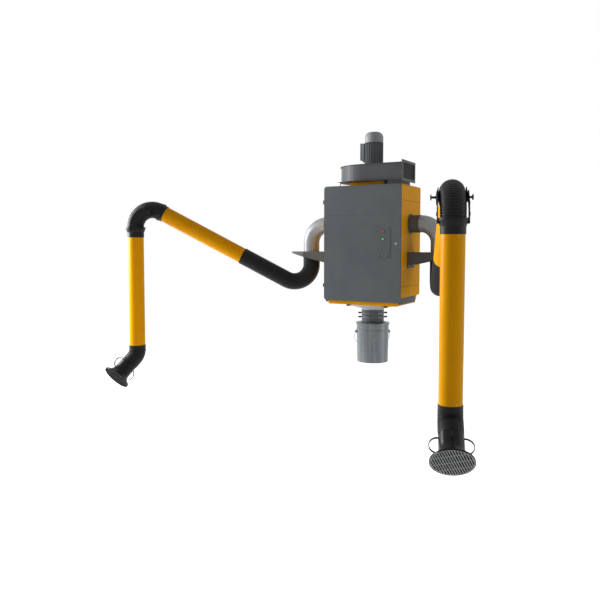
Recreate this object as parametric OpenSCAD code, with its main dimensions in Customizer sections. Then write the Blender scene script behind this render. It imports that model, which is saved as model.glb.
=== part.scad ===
// Wall-mounted fume extractor: a filter cabinet with a fan on its roof, a dust bin
// under its hopper and two jointed extraction arms with hoods. Millimetres.
// The origin lies on the wall, in the middle of the four wall bolts.
// +X points right, +Y into the wall, +Z up.

/* [Cabinet] */
// Width of the filter cabinet
cabinet_w = 780; // [740:5:860]
// Depth of the cabinet body behind its door
cabinet_d = 526; // [510:1:600]
// Height of the cabinet roof above the middle of the wall bolts
cabinet_up = 546; // [520:1:640]
// Depth of the cabinet floor below the middle of the wall bolts
cabinet_down = 501; // [470:1:560]
// Sheet steel of the cabinet
sheet_t = 2; // [1.5:0.25:3]
// Radius of the cabinet's long edges
cabinet_r = 6; // [4:1:12]
// Radius of the roof's back edge
back_edge_r = 30; // [12:1:40]
// Flange round the front opening
front_flange = 35; // [28:1:50]
// Height of the tray under the floor
tray_h = 80; // [60:1:110]
// Inset of the tray from the cabinet sides
tray_inset = 22; // [16:1:40]
// Gap between the wall and the cabinet back
wall_gap = 40; // [30:1:70]
// Height of the pressed seams above and below the middle
seam_z = 400; // [340:5:440]
// Width of a pressed seam
seam_w = 3; // [2:0.5:6]
// Depth of a pressed seam
seam_deep = 0.8; // [0.4:0.1:1.2]

/* [Wall rails] */
// Distance between the wall bolts, across
wall_bolt_dx = 600; // [500:10:660]
// Distance between the wall bolts, up
wall_bolt_dz = 800; // [700:10:860]
// Radius of the wall bolt holes
wall_hole_r = 7; // [5:0.5:9]
// Length of a wall rail
rail_l = 700; // [690:5:720]
// Height of a wall rail
rail_h = 60; // [50:1:80]
// Wall of a rail
rail_t = 3; // [2.5:0.5:5]
// Radius of the spanner hole in the front of a rail
spanner_r = 16; // [12:1:20]

/* [Door] */
// Height of the door above and below the middle
door_half_h = 546; // [530:1:560]
// Thickness of the door
door_t = 20; // [16:1:30]
// Radius of the door corners
door_r = 30; // [15:1:45]
// Gap between the door and the cabinet
door_gap = 1; // [0.5:0.25:3]
// Height of the pressed line across the door
door_line_z = 268; // [200:2:320]
// Radius of the hinge pins
hinge_pin_r = 4; // [3:0.5:5]
// Distance of the hinge axis from the cabinet side
hinge_out = 10; // [10:0.5:14]
// Distance of the hinge axis in front of the body
hinge_front = 8; // [6:0.5:10]
// Height of the hinges above and below the middle
hinge_z = 400; // [300:5:440]
// Height of a hinge knuckle
knuckle_h = 28; // [20:1:40]
// Radius of the lock head
lock_r = 9; // [7:0.5:12]
// Length of the lock cam
cam_l = 38; // [32:1:40]
// Distance of the lock from the door's right edge
lock_in = 45; // [43:1:48]

/* [Controls] */
// Width of the control panel
panel_w = 144; // [120:2:170]
// Height of the control panel
panel_h = 288; // [250:2:320]
// Middle of the control panel across the door
panel_in = 171; // [150:1:240]
// Middle of the control panel up the door
panel_z = 7; // [-40:1:40]
// Thickness of the panel's front plate
panel_t = 2; // [1.5:0.5:4]
// Radius of a signal lamp
lamp_r = 9; // [6:0.5:12]
// Radius of a push button
button_r = 9; // [7:0.5:12]
// Travel of a push button
button_travel = 3; // [2:0.5:4]
// Places on the panel as shares of its half size: red lamp, green lamp, buttons
panel_place_shares = [[0.02, 0.715], [-0.02, 0.25], [-0.6, -0.83], [0.5, -0.83]];

/* [Fan] */
// Distance of the fan axis from the cabinet back
fan_back = 250; // [240:1:280]
// Width of the square plenum under the fan
plenum_w = 350; // [340:5:400]
// Height of the plenum
plenum_h = 36; // [20:1:44]
// Width of the fan's square base plate
base_w = 520; // [510:5:540]
// Thickness of the fan's plates
fan_plate_t = 4; // [3:0.5:6]
// Height of the scroll housing
scroll_h = 149; // [130:1:180]
// Radius of the scroll at its tongue
scroll_r0 = 262; // [250:1:270]
// Radius of the scroll at its outlet
scroll_r1 = 330; // [318:1:340]
// Lip of the end plates round the scroll
scroll_lip = 12; // [6:1:20]
// Wall of the scroll
scroll_t = 3; // [2:0.5:4]
// Distance of the outlet flange's face from the fan axis
outlet_x = 420; // [400:1:440]
// Flange round the outlet
outlet_lip = 20; // [18:1:24]
// Thickness of the outlet flange
outlet_t = 8; // [5:1:12]
// Radius of the outlet flange's corner holes
outlet_hole_r = 4.5; // [3:0.5:6]
// Radius of the fan inlet
fan_inlet_r = 130; // [110:2:150]
// Radius of the impeller
impeller_r = 190; // [160:2:200]
// Number of impeller blades
blade_n = 9; // [7:1:12]

/* [Motor] */
// Radius of the motor over its fins
motor_r = 90; // [80:1:91]
// Height of the finned motor housing
motor_h = 224; // [200:2:260]
// Height of the fan cowl on the motor
cowl_h = 104; // [90:2:130]
// Height of the motor's mounting flange
motor_flange_h = 12; // [8:1:18]
// Radius of the motor's mounting flange
motor_flange_r = 108; // [104:1:120]
// Radius of the motor shaft
shaft_r = 14; // [12:0.5:18]
// Number of cooling fins
fin_n = 28; // [20:1:36]
// Width, depth and height of the terminal box
terminal_size = [34, 90, 160];
// Radius of the cable entry in the terminal box
cable_r = 10; // [8:0.5:12.5]

/* [Filters] */
// Radius of a filter cartridge
filter_r = 145; // [120:1:155]
// Height of a filter cartridge
filter_h = 610; // [500:5:660]
// Distance of a cartridge from the cabinet middle
filter_x = 166; // [160:1:172]
// Height of the tube sheet above the middle
sheet_z = 300; // [280:2:340]
// Radius of the compressed-air tank
tank_r = 45; // [35:1:50]
// Length of the compressed-air tank
tank_l = 560; // [480:5:600]

/* [Inlet ducts] */
// Outside radius of the ducts and arm tubes
tube_r = 80; // [76:1:82]
// Height of the inlets above the middle
duct_z = 186; // [170:1:200]
// Distance of the inlets from the cabinet back
duct_back = 275; // [265:1:285]
// Distance of an arm's swivel axis from the cabinet side
arm_out = 279; // [265:1:300]
// Bend radius of a duct elbow, at its middle
duct_bend_r = 179; // [165:1:185]
// Wall of the ducts
duct_t = 1.5; // [1:0.25:2.5]
// Radius of the collar flange on the cabinet side
collar_flange_r = 96; // [92:1:105]

/* [Arm brackets] */
// Height of the bracket's top plate, below the middle
bracket_z = -81; // [-90:1:-70]
// Thickness of the bracket's plates
bracket_t = 6; // [5:0.5:8]
// Half width of a bracket, inside its gussets
bracket_in = 94; // [93:0.5:100]
// Reach of a bracket beyond its swivel axis
bracket_tip = 211; // [150:1:240]
// Depth of a bracket's gussets at the cabinet
gusset_h = 126; // [100:1:150]

/* [Arms] */
// Rise of an arm's inner section, in degrees
arm_rise = 28; // [20:1:34]
// Middle radius of the hose bends at shoulder and elbow
hose_bend_r = 176; // [170:1:190]
// Depth of the shoulder bend's centre below the middle
shoulder_z = -212; // [-225:1:-200]
// Straight length of an inner section, between its bends
inner_l = 1478; // [1300:2:1600]
// Length of hose on the inner section
inner_hose_l = 515; // [400:5:600]
// Length of an outer tube below the elbow bend
outer_l = 1256; // [1000:2:1400]
// Wall of an arm tube
arm_tube_t = 1.5; // [1:0.25:3]
// Direction of the left arm, in degrees from +X
left_angle = 206.5; // [195:0.5:230]
// Direction of the right arm, in degrees from +X
right_angle = -70.5; // [-85:0.5:-60]
// Thickness of the support links inside the hoses
link_t = 12; // [8:1:14]
// Half height of the support links
link_half = 16; // [12:1:18]
// Radius of the shoulder pin
shoulder_pin_r = 8; // [6:0.5:10]
// Part of the shoulder bend from its start to the pin
shoulder_pin_share = 0.466; // [0.4:0.01:0.6]

/* [Elbows] */
// Height of the elbow pivot above the bend's centre
elbow_pivot_up = 142; // [130:1:150]
// Radius of the elbow pivot studs
stud_r = 6; // [5:0.5:8]
// Distance of the inner fork plates from the arm's middle
fork_in = 89.5; // [89:0.5:92]
// Thickness of the fork plates
fork_t = 5.5; // [4:0.5:6]
// Length of the outer collar below the elbow bend
outer_collar_l = 108; // [90:1:116]
// Length of the inner collar before the elbow bend
inner_collar_l = 57; // [50:1:70]
// Radius of the collar rings
collar_ring_r = 100; // [97:1:106]
// Radius of a friction knob's head
knob_r = 20; // [15:1:26]
// Length of a friction knob's stem
knob_stem = 30; // [22:1:40]

/* [Hoods] */
// Tilt of the hoods from straight down, in degrees
hood_tilt = 51; // [40:1:60]
// Turn of the left hood about its tube, in degrees
left_hood_turn = 50; // [0:1:70]
// Turn of the right hood about its tube, in degrees
right_hood_turn = 0; // [-30:1:30]
// Middle radius of the hood hose bend
hood_bend_r = 120; // [110:1:140]
// Straight hood hose above its bend
hood_hose_in = 6; // [4:1:20]
// Straight hood hose below its bend
hood_hose_out = 78; // [60:1:90]
// Length of the hood's neck
neck_l = 88; // [80:1:100]
// Outside radius of the hood's neck
neck_r = 84; // [82:1:88]
// Length of the hood's flare
flare_l = 97; // [85:1:120]
// Radius of the hood's mouth
mouth_r = 144; // [130:1:160]
// Depth of the hood's rim
rim_l = 13; // [8:1:18]
// Wall of the hood
hood_t = 3; // [2:0.5:4]
// Radius of the hood's ring handles
ring_r = 60; // [54:1:64]
// Distance of the ring handles' middle from the hood axis
ring_out = 86; // [84:1:96]
// Turn of the left hood about its neck, in degrees
left_neck_turn = 90; // [0:90:90]
// Pitch of the mouth grille's bars
grille_pitch = 16.5; // [11:0.5:20]
// Width of a grille bar
grille_bar = 7; // [3:0.5:8]
// Direction of the grille bars, in degrees
grille_angle = 20; // [0:5:90]

/* [Hoses] */
// Outside radius of the hoses at their ribs
hose_r = 86; // [84:0.5:87]
// Depth of the hose ribs
rib_deep = 6; // [4:0.5:7]
// Bore radius of the hoses
hose_bore_r = 76; // [74:0.5:77]
// Pitch of the hose ribs
rib_pitch = 15; // [13:0.5:30]

/* [Dust bin] */
// Radius of the hopper's mouth
hopper_r = 228; // [215:1:232]
// Height of the hopper cone
hopper_h = 54; // [45:1:80]
// Radius of the hopper's outlet pipe
spout_r = 106; // [95:1:110]
// Length of the sleeve between hopper and lid
sleeve_l = 114; // [100:1:150]
// Radius of the bin at its top
bin_top_r = 158; // [150:1:168]
// Radius of the bin at its foot
bin_foot_r = 151; // [142:1:156]
// Height of the bin
bin_h = 382; // [320:2:420]
// Wall of the bin
bin_t = 1.5; // [1:0.25:2.5]
// Direction of the bin's ears, in degrees from +X
ear_angle = 30; // [0:5:60]
// Radius of the bail wire
wire_r = 3; // [2.5:0.25:4]
// Straight length of the bail's legs
bail_leg = 70; // [60:1:90]
// Angle of the hanging bail below level, in degrees
bail_hang = 47; // [45:1:48]

/* [Hidden] */
$fn = 64;

// Overrun of every cut, gap of a loose fit, gap of a running fit
over = 1;
loose = 0.3;
running = 0.05;

// Cabinet places
back_y = -wall_gap;
front_y = back_y - cabinet_d;
half_w = cabinet_w / 2;
fan_y = back_y - fan_back;
tray_z = -cabinet_down - tray_h;
opening_half = half_w - front_flange;
body_mid_z = (cabinet_up - cabinet_down) / 2;
tray_front_gap = 4;
panel_gap = 0.3;
tray_slant = 22;

// Door places
door_back_y = front_y - door_gap;
door_front_y = door_back_y - door_t;
hinge_x = -half_w - hinge_out;
hinge_y = front_y - hinge_front;
knuckle_r = 8;
lug_r = 9;
lug_h = 8;
lug_back = 31;
lock_x = half_w - lock_in;
lock_shaft_r = 6;
lock_head_t = 4;
cam_t = 3;
cam_half = 6;
door_line_w = 3;
door_line_deep = 0.8;

// Control panel places, across and up
panel_x = half_w - panel_in;
function panel_at(i) = [
  panel_x + panel_place_shares[i][0] * panel_w / 2,
  panel_z + panel_place_shares[i][1] * panel_h / 2];
panel_overlap = 4;
panel_box_d = 15;
panel_y = door_front_y - panel_t;
lamp_out = 4;
button_proud = 2;
button_out = button_travel + button_proud;
button_flange = 2.5;
button_l = 15;

// Fan heights
roof_z = cabinet_up;
base_z = roof_z + plenum_h;
scroll_z = base_z + fan_plate_t;
scroll_top = scroll_z + scroll_h;
plenum_t = 3;
impeller_t = 4;
impeller_gap = 8;
hub_r = 38;
hub_h = 60;
blade_t = 4;
tongue_angle = -4;
spiral_end = 270;
spiral_steps = 40;

// Motor heights
motor_z = scroll_top + motor_flange_h;
motor_top = motor_z + motor_h;
fin_deep = 12;
motor_core_r = motor_r - fin_deep;
fin_t = 3;
motor_wall = 8;
cowl_t = 2;
cowl_shoulder = 55;
cooling_r = 66;
cooling_h = 24;
rotor_r = 48;
rotor_h = 130;
cowl_slot_n = 12;
cowl_slot_w = 5;
terminal_up = 62;
terminal_z = motor_z + terminal_up;
gland_r = cable_r + 4;
gland_h = 16;

// Bolts
bolt_r = 4;
bolt_hole_r = 4.3;
bolt_head_r = 7.5;
bolt_head_h = 5.5;
bolt_l = 12;
base_bolt_in = 24;
base_bolt_shares = [[-1.04, -1.04], [-1, 1], [1, 1]];
motor_bolt_in = 9;
motor_bolt_ring = motor_flange_r - motor_bolt_in;
gusset_t = 5;
bracket_bolt_dy = 150;
bracket_bolt_dz = 92;

// Arms
duct_y = back_y - duct_back;
arm_x = half_w + arm_out;
duct_end_drop = 23;
duct_end_z = bracket_z - duct_end_drop;
collar_l = arm_out - duct_bend_r;
collar_t = 3;
collar_end = 2;
turn = 90 + arm_rise;
shoulder_c = [hose_bend_r, shoulder_z];
inner_dir = [cos(arm_rise), sin(arm_rise)];
shoulder_out = shoulder_c + hose_bend_r * [sin(arm_rise), -cos(arm_rise)];
elbow_in = shoulder_out + inner_l * inner_dir;
elbow_c = elbow_in + hose_bend_r * [sin(arm_rise), -cos(arm_rise)];
elbow_out = elbow_c + [hose_bend_r, 0];
pivot = elbow_c + [0, elbow_pivot_up];
pin_turn = turn * shoulder_pin_share;
shoulder_pin = shoulder_c + hose_bend_r * [-cos(pin_turn), -sin(pin_turn)];

// Hanger: a turntable ring on the duct's end, a spigot and two cheeks
hanger_r = 92;
hanger_ring_h = 24;
hanger_gap = 1;
hanger_top = bracket_z - bracket_t - hanger_gap;
hanger_bottom = hanger_top - hanger_ring_h;
lip_out = 4;
lip_r = tube_r + lip_out;
lip_h = 3.5;
spigot_l = 60;
spigot_t = 3;
cheek_gap = 1;
cheek_t = 6;
crossbar_h = 13;

// Elbow joint
boss_r = 22;
boss_t = 3.3;
plate_gap = 0.3;
outer_plate_w = fork_in + fork_t + plate_gap + boss_t;
seat_gap = 0.5;
seat_r = hose_r + seat_gap;
seat_l = 40;
inner_seat_l = 24;
sleeve_t = 4;
sleeve_gap = 0.2;
sleeve_bore = tube_r + sleeve_gap;
ring_h = 18;
side_lug_half = 34;
knob_head_t = 8;
knob_stem_r = 8;
inner_boss_r = 38;
ear_at = [34, 42];
ear_r = 24;
dot_r = 12;
dot_t = 2.4;

// Hood places, measured from the end of the outer tube's visible part
tube_end_z = elbow_out[1] - outer_l;
collar_lap = 28;
collar_top_z = tube_end_z + collar_lap;
hood_collar_h = 36;
hood_hose_z = collar_top_z - hood_collar_h;
hood_bend_z = hood_hose_z - hood_hose_in;
hood_c = [hood_bend_r, hood_bend_z];
hood_out = hood_c + hood_bend_r * [-cos(hood_tilt), -sin(hood_tilt)];
hood_pivot = [0, hood_bend_z - hood_bend_r * sin(hood_tilt) / 2];
hood_pin_r = 5;
rod_r = 6;
hood_eye_r = 11;
hood_cheek_gap = rod_r + loose;
hood_cheek_t = 5;
spider_h = 8;
hood_spigot_l = 60;
damper_at = 48;
damper_t = 3;
damper_gap = 4;
damper_r = neck_r - hood_t - damper_gap;
spindle_r = 5;
damper_knob_l = 20;
damper_lever = 30;
ring_share = 0.84;
ring_t = 5;
ring_w = 14;
grille_t = 4;
flare_steps = 10;

// Dust side heights
hopper_t = 2;
hopper_flange = 12;
hopper_skirt = 24;
hopper_bottom = tray_z - hopper_h;
spout_l = 20;
sleeve_drop = 8;
sleeve_z = hopper_bottom - sleeve_drop;
sleeve_bottom = sleeve_z - sleeve_l;
sleeve_wall = 3;
clamp_band = 6;
clamp_r = spout_r + sleeve_wall + clamp_band;
clamp_h = 13;
clamp_ear = 26;
clamp_shares = [0.36, 0.72];
lid_drop = 4;
lid_z = sleeve_bottom - lid_drop;
lid_t = 2;
lid_slope = 11;
lid_skirt = 16;
curl_r = 3.5;
bin_top_z = lid_z - lid_slope - lid_t - loose;
bin_bottom_z = bin_top_z - bin_h;
bead_drop = 66;
bead_z = bin_top_z - bead_drop;
bead_r = 3;
foot_h = 6;
ear_drop = 88;
ear_z = bin_top_z - ear_drop;
ear_h = 26;
ear_w = 16;
ear_out = 12;
clamp_knob_r = 18;
clamp_knob_h = 24;
clamp_stud_r = 5;
clamp_angle = 38;
clamp_out = 19;
clamp_lug = 8;
clamp_ring_r = hopper_r + clamp_out;

/* Shapes shared by several pieces */

// Box between two opposite corners
module box(a, b) { translate(a) cube(b - a); }

// Rectangle with round corners, exact at any size
module round_rect(w, h, r) {
  square([w - 2 * r, h], center = true);
  square([w, h - 2 * r], center = true);
  for (sx = [-1, 1], sy = [-1, 1])
    translate([sx * (w / 2 - r), sy * (h / 2 - r)]) circle(r);
}

// Two discs joined by their outer tangents
module tangent_link(p, rp, q, rq) {
  d = q - p;
  len = norm(d);
  a = atan2(d[1], d[0]);
  b = acos((rp - rq) / len);
  translate(p) circle(rp);
  translate(q) circle(rq);
  polygon([
    p + rp * [cos(a + b), sin(a + b)], q + rq * [cos(a + b), sin(a + b)],
    q + rq * [cos(a - b), sin(a - b)], p + rp * [cos(a - b), sin(a - b)]]);
}

// Part of a flat ring between two angles less than a half turn apart
module ring_sector(r_in, r_out, a0, a1) {
  far = 2 * r_out;
  intersection() {
    difference() { circle(r_out); circle(r_in); }
    polygon([[0, 0], far * [cos(a0), sin(a0)],
      far * [cos((a0 + a1) / 2), sin((a0 + a1) / 2)], far * [cos(a1), sin(a1)]]);
  }
}

// Tube along +Z
module tube(r, wall, h) {
  difference() {
    cylinder(r = r, h = h);
    translate([0, 0, -over]) cylinder(r = r - wall, h = h + 2 * over);
  }
}

// Hex bolt whose head stands on the plane z = 0 and whose shank goes down
module hex_bolt(r, head_r, head_h, l) {
  cylinder(r = head_r, h = head_h, $fn = 6);
  translate([0, 0, -l]) cylinder(r = r, h = l + head_h / 2);
}

// Plate in the arm's own plane, between two distances from its middle
module arm_plate(w0, w1) {
  translate([0, w1, 0]) rotate([90, 0, 0]) linear_extrude(w1 - w0) children();
}

// The same plate on both sides of the arm
module both_plates(w0, w1) {
  arm_plate(w0, w1) children();
  arm_plate(-w1, -w0) children();
}

function arm_angle(side) = side < 0 ? left_angle : right_angle;
function neck_angle(side) = side < 0 ? left_neck_turn : 0;
function hood_angle(side) = side < 0 ? left_hood_turn : right_hood_turn;

// Arm frame: local X points outwards along the arm, local Z up
module arm_frame(side) {
  translate([side * arm_x, duct_y, 0]) rotate([0, 0, arm_angle(side)]) children();
}

// Inner section's frame: local Z runs along its axis, from the shoulder bend
module inner_frame(side) {
  arm_frame(side) translate([shoulder_out[0], 0, shoulder_out[1]])
    rotate([0, 90 - arm_rise, 0]) children();
}

// Outer section's frame: the outer tube's axis
module outer_frame(side) {
  arm_frame(side) translate([elbow_out[0], 0, 0]) children();
}

// Hood turning frame: about the outer tube's axis
module turn_frame(side) {
  outer_frame(side) rotate([0, 0, hood_angle(side)]) children();
}

// Hood frame: local Z runs out through the hood's mouth, from the hose bend's end
module hood_frame(side) {
  turn_frame(side) translate([hood_out[0], 0, hood_out[1]])
    rotate([0, 180 - hood_tilt, 0]) children();
}

/* Hoses: a straight run, a bend and a straight run, in the plane y = 0 */

// Point on a hose's middle line at distance s, and its heading
function hose_at(s, p, a, l1, r, bend) =
  let (arc = r * abs(bend) * PI / 180, k = sign(bend),
       p1 = p + l1 * [cos(a), sin(a)],
       c = p1 + k * r * [-sin(a), cos(a)])
  s <= l1 ? [p + s * [cos(a), sin(a)], a]
  : s <= l1 + arc ?
    let (h = a + k * (s - l1) / r * 180 / PI) [c - k * r * [-sin(h), cos(h)], h]
  : let (h = a + bend) [c - k * r * [-sin(h), cos(h)] + (s - l1 - arc) * [cos(h), sin(h)], h];

// Ring of eight points round one point of the middle line
function hose_ring(at, r) = [for (i = [0:7])
  let (q = 45 * i, n = [-sin(at[1]), cos(at[1])])
  [at[0][0] + r * cos(q) * n[0], r * sin(q), at[0][1] + r * cos(q) * n[1]]];

// Two triangles between neighbouring rings that start at points a and b
function band(a, b) = [for (i = [0:7]) let (j = (i + 1) % 8)
  each [[a + i, a + j, b + j], [a + i, b + j, b + i]]];

module ribbed_hose(p, a, l1, r, bend, l2) {
  total = l1 + r * abs(bend) * PI / 180 + l2;
  ribs = max(3, floor(total / rib_pitch));
  outs = 2 * ribs + 1;
  ins = max(4, round(ribs / 2));
  outer = [for (k = [0:outs - 1])
    each hose_ring(hose_at(total * k / (outs - 1), p, a, l1, r, bend),
      k % 2 == 0 ? hose_r - rib_deep : hose_r)];
  inner = [for (k = [0:ins - 1])
    each hose_ring(hose_at(total * k / (ins - 1), p, a, l1, r, bend), hose_bore_r)];
  base = 8 * outs;
  last = base + 8 * (ins - 1);
  polyhedron(concat(outer, inner), concat(
    [for (k = [0:outs - 2]) each band(8 * k, 8 * k + 8)],
    [for (k = [0:ins - 2]) each band(base + 8 * k + 8, base + 8 * k)],
    band(base, 0), band(base - 8, last)));
  echo(hose_length = total, ribs = ribs);
}

/* Cabinet and what it stands on */

module wall_rails() {
  color("dimgray") for (sz = [-1, 1]) translate([0, 0, sz * wall_bolt_dz / 2])
    difference() {
      box([-rail_l / 2, back_y, -rail_h / 2], [rail_l / 2, 0, rail_h / 2]);
      box([-rail_l / 2 - over, back_y + rail_t, -rail_h / 2 + rail_t],
        [rail_l / 2 + over, -rail_t, rail_h / 2 - rail_t]);
      for (sx = [-1, 1]) translate([sx * wall_bolt_dx / 2, 0, 0]) {
        translate([0, over, 0]) rotate([90, 0, 0])
          cylinder(r = wall_hole_r, h = rail_t + 2 * over);
        translate([0, back_y + rail_t + over, 0]) rotate([90, 0, 0])
          cylinder(r = spanner_r, h = rail_t + 2 * over);
      }
      translate([0, 0, -sz * wall_bolt_dz / 2]) rail_bolt_places()
        translate([0, 0, -bolt_l - over]) cylinder(r = bolt_hole_r, h = bolt_l);
    }
}

// Seams at which the folded panels meet: back, front frame, sides, roof, floor and tray
module panel_seams() {
  in_front = front_y + sheet_t;
  in_back = back_y - sheet_t;
  for (y = [in_front, in_back - panel_gap])
    box([-half_w - over, y, -cabinet_down - over],
      [half_w + over, y + panel_gap, cabinet_up + over]);
  for (s = [-1, 1]) scale_x(s)
    box([half_w - cabinet_r - panel_gap, in_front, -cabinet_down - over],
      [half_w - cabinet_r, in_back, cabinet_up + over]);
  box([-half_w - over, front_y - over, -cabinet_down - panel_gap],
    [half_w + over, back_y + over, -cabinet_down]);
}

// What the rounded back edge of the roof leaves out, moved in by d
module back_edge(d) {
  r = back_edge_r - d;
  translate([-half_w - over, back_y - back_edge_r, cabinet_up - back_edge_r])
    rotate([90, 0, 90]) linear_extrude(cabinet_w + 2 * over) difference() {
      square(r + over);
      circle(r);
    }
}

module cabinet_shell() {
  color("goldenrod") difference() {
    union() {
      translate([0, back_y, body_mid_z]) rotate([90, 0, 0]) linear_extrude(cabinet_d)
        round_rect(cabinet_w, cabinet_up + cabinet_down, cabinet_r);
      translate([0, back_y - tray_front_gap, 0]) rotate([90, 0, 0])
        linear_extrude(cabinet_d - tray_front_gap) polygon(tray(0));
      for (sz = [-1, 1]) translate([hinge_x, hinge_y, sz * hinge_z]) hinge_lug();
    }
    back_edge(0);
    difference() {
      box([-half_w + sheet_t, front_y + sheet_t, -cabinet_down + sheet_t],
        [half_w - sheet_t, back_y - sheet_t, cabinet_up - sheet_t]);
      back_edge(sheet_t);
    }
    box([-opening_half, front_y - over, -cabinet_down + front_flange],
      [opening_half, front_y + sheet_t + over, cabinet_up - front_flange]);
    translate([0, back_y - tray_front_gap - sheet_t, 0]) rotate([90, 0, 0])
      linear_extrude(cabinet_d - tray_front_gap - 2 * sheet_t) polygon(tray(sheet_t));
    translate([0, fan_y, tray_z - over]) cylinder(r = hopper_r - hopper_t,
      h = tray_h + 2 * sheet_t + 2 * over);
    translate([0, fan_y, cabinet_up - sheet_t - over])
      cylinder(r = fan_inlet_r, h = sheet_t + 2 * over);
    for (s = [-1, 1]) {
      translate([s * half_w, duct_y, duct_z]) rotate([0, 90, 0])
        cylinder(r = tube_r + loose, h = 4 * sheet_t, center = true);
      for (sz = [-1, 1]) translate([s * half_w, 0, sz * seam_z])
        box([-seam_deep, front_y - over, -seam_w / 2],
          [seam_deep, back_y + over, seam_w / 2]);
      bracket_bolt_places(s) translate([0, 0, -bracket_t - 2 * sheet_t])
        cylinder(r = bolt_hole_r, h = bracket_t + 3 * sheet_t);
    }
    translate([-half_w, tank_y, tank_z]) rotate([0, 90, 0])
      cylinder(r = air_stub_r + loose, h = 4 * sheet_t, center = true);
    clamp_places() translate([0, 0, -over])
      cylinder(r = clamp_stud_r + loose, h = sheet_t + 2 * over);
    base_bolt_places() translate([0, 0, -bolt_l - over])
      cylinder(r = bolt_hole_r, h = bolt_l + 2 * over);
    rail_bolt_places() translate([0, 0, -bolt_l])
      cylinder(r = bolt_hole_r, h = bolt_l + over);
    panel_seams();
  }
}

// Section of the tray under the floor, with its sides slanted in, moved in by d
function tray(d) = [
  [-half_w + tray_inset + d, -cabinet_down + sheet_t / 2 - d / 2],
  [half_w - tray_inset - d, -cabinet_down + sheet_t / 2 - d / 2],
  [half_w - tray_inset - tray_slant - d, tray_z + d],
  [-half_w + tray_inset + tray_slant + d, tray_z + d]];

// Fixed half of a door hinge: a lug on the cabinet side and its upright pin
module hinge_lug() {
  translate([0, 0, -knuckle_h / 2 - lug_h]) {
    cylinder(r = lug_r, h = lug_h);
    box([-lug_r, 0, 0], [lug_r, lug_back, lug_h]);
    box([0, hinge_front + sheet_t + over, 0],
      [hinge_out + sheet_t / 2, lug_back, lug_h]);
    cylinder(r = hinge_pin_r, h = lug_h + knuckle_h);
  }
}

base_rail_t = 14;
base_rail_h = 62;
base_rail_front = 6;
base_rail_back = 110;

module base_rails() {
  color("dimgray") for (s = [-1, 1]) scale_x(s)
    box([half_w - tray_inset, front_y + base_rail_front, -cabinet_down - base_rail_h],
      [half_w - tray_inset + base_rail_t, back_y - base_rail_back, -cabinet_down]);
}

// Mirror image for the left side
module scale_x(s) { if (s < 0) mirror([1, 0, 0]) children(); else children(); }

sheet_hole_r = 112;
flange_over = 12;

module tube_sheet() {
  color("silver") difference() {
    box([-half_w + sheet_t, front_y + sheet_t, sheet_z],
      [half_w - sheet_t, back_y - sheet_t, sheet_z + 2 * sheet_t]);
    for (s = [-1, 1]) translate([s * filter_x, fan_y, sheet_z - over])
      cylinder(r = sheet_hole_r, h = 2 * sheet_t + 2 * over);
  }
}

filter_wall = 26;
filter_cap = 8;

module filter_cartridges() {
  color("whitesmoke") for (s = [-1, 1]) translate([s * filter_x, fan_y, sheet_z - filter_h])
    difference() {
      union() {
        cylinder(r = filter_r, h = filter_h);
        translate([0, 0, filter_h - filter_cap])
          cylinder(r = filter_r + flange_over, h = filter_cap);
      }
      translate([0, 0, filter_cap]) cylinder(r = filter_r - filter_wall, h = filter_h);
    }
}

tank_off = 16;
tank_up = 130;
tank_y = back_y - sheet_t - tank_r - tank_off;
tank_z = sheet_z + tank_up;
air_stub_r = 14;
air_bore_r = 9.5;
tank_t = 3;
blow_r = 12;
blow_t = 2;
nozzle_drop = 60;
tank_foot_w = 40;

module pulse_tank() {
  color("silver") difference() {
    union() {
      translate([-tank_l / 2, tank_y, tank_z]) rotate([0, 90, 0])
        cylinder(r = tank_r, h = tank_l);
      translate([-half_w - air_stub_r, tank_y, tank_z]) rotate([0, 90, 0])
        cylinder(r = air_stub_r, h = half_w + air_stub_r - tank_l / 2 + over);
      for (s = [-1, 1]) translate([s * filter_x, 0, tank_z]) {
        translate([0, tank_y, 0]) rotate([90, 0, 0])
          cylinder(r = blow_r, h = tank_y - fan_y);
        translate([0, fan_y, 0]) sphere(r = blow_r);
        translate([0, fan_y, -nozzle_drop]) cylinder(r = blow_r, h = nozzle_drop);
        box([-tank_foot_w / 2, tank_y, -tank_foot_w / 2],
          [tank_foot_w / 2, back_y - sheet_t, tank_foot_w / 2]);
      }
    }
    translate([-half_w - air_stub_r - over, tank_y, tank_z]) rotate([0, 90, 0])
      cylinder(r = air_bore_r, h = half_w + air_stub_r - tank_l / 2 + 2 * over);
    translate([-tank_l / 2 + tank_t, tank_y, tank_z]) rotate([0, 90, 0])
      cylinder(r = tank_r - tank_t, h = tank_l - 2 * tank_t);
    for (s = [-1, 1]) translate([s * filter_x, 0, tank_z]) {
      translate([0, tank_y, 0]) rotate([90, 0, 0])
        cylinder(r = blow_r - blow_t, h = tank_y - fan_y);
      translate([0, fan_y, -nozzle_drop - over])
        cylinder(r = blow_r - blow_t, h = nozzle_drop + over);
    }
  }
}

/* Fan and motor */

module fan_plenum() {
  color("goldenrod") translate([0, fan_y, 0]) difference() {
    box([-plenum_w / 2, -plenum_w / 2, roof_z], [plenum_w / 2, plenum_w / 2, base_z]);
    box([-plenum_w / 2 + plenum_t, -plenum_w / 2 + plenum_t, roof_z - over],
      [plenum_w / 2 - plenum_t, plenum_w / 2 - plenum_t, base_z + over]);
  }
}

// Outline of the scroll, moved out by d: a spiral, then a straight outlet
function volute(d, x_end) = concat(
  [for (i = [0:spiral_steps])
    let (a = tongue_angle + (spiral_end - tongue_angle) * i / spiral_steps,
         r = scroll_r0 + (scroll_r1 - scroll_r0) * i / spiral_steps + d)
    r * [cos(a), sin(a)]],
  [[x_end, -scroll_r1 - d], [x_end, scroll_r0 * sin(tongue_angle) + d]]);

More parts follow.
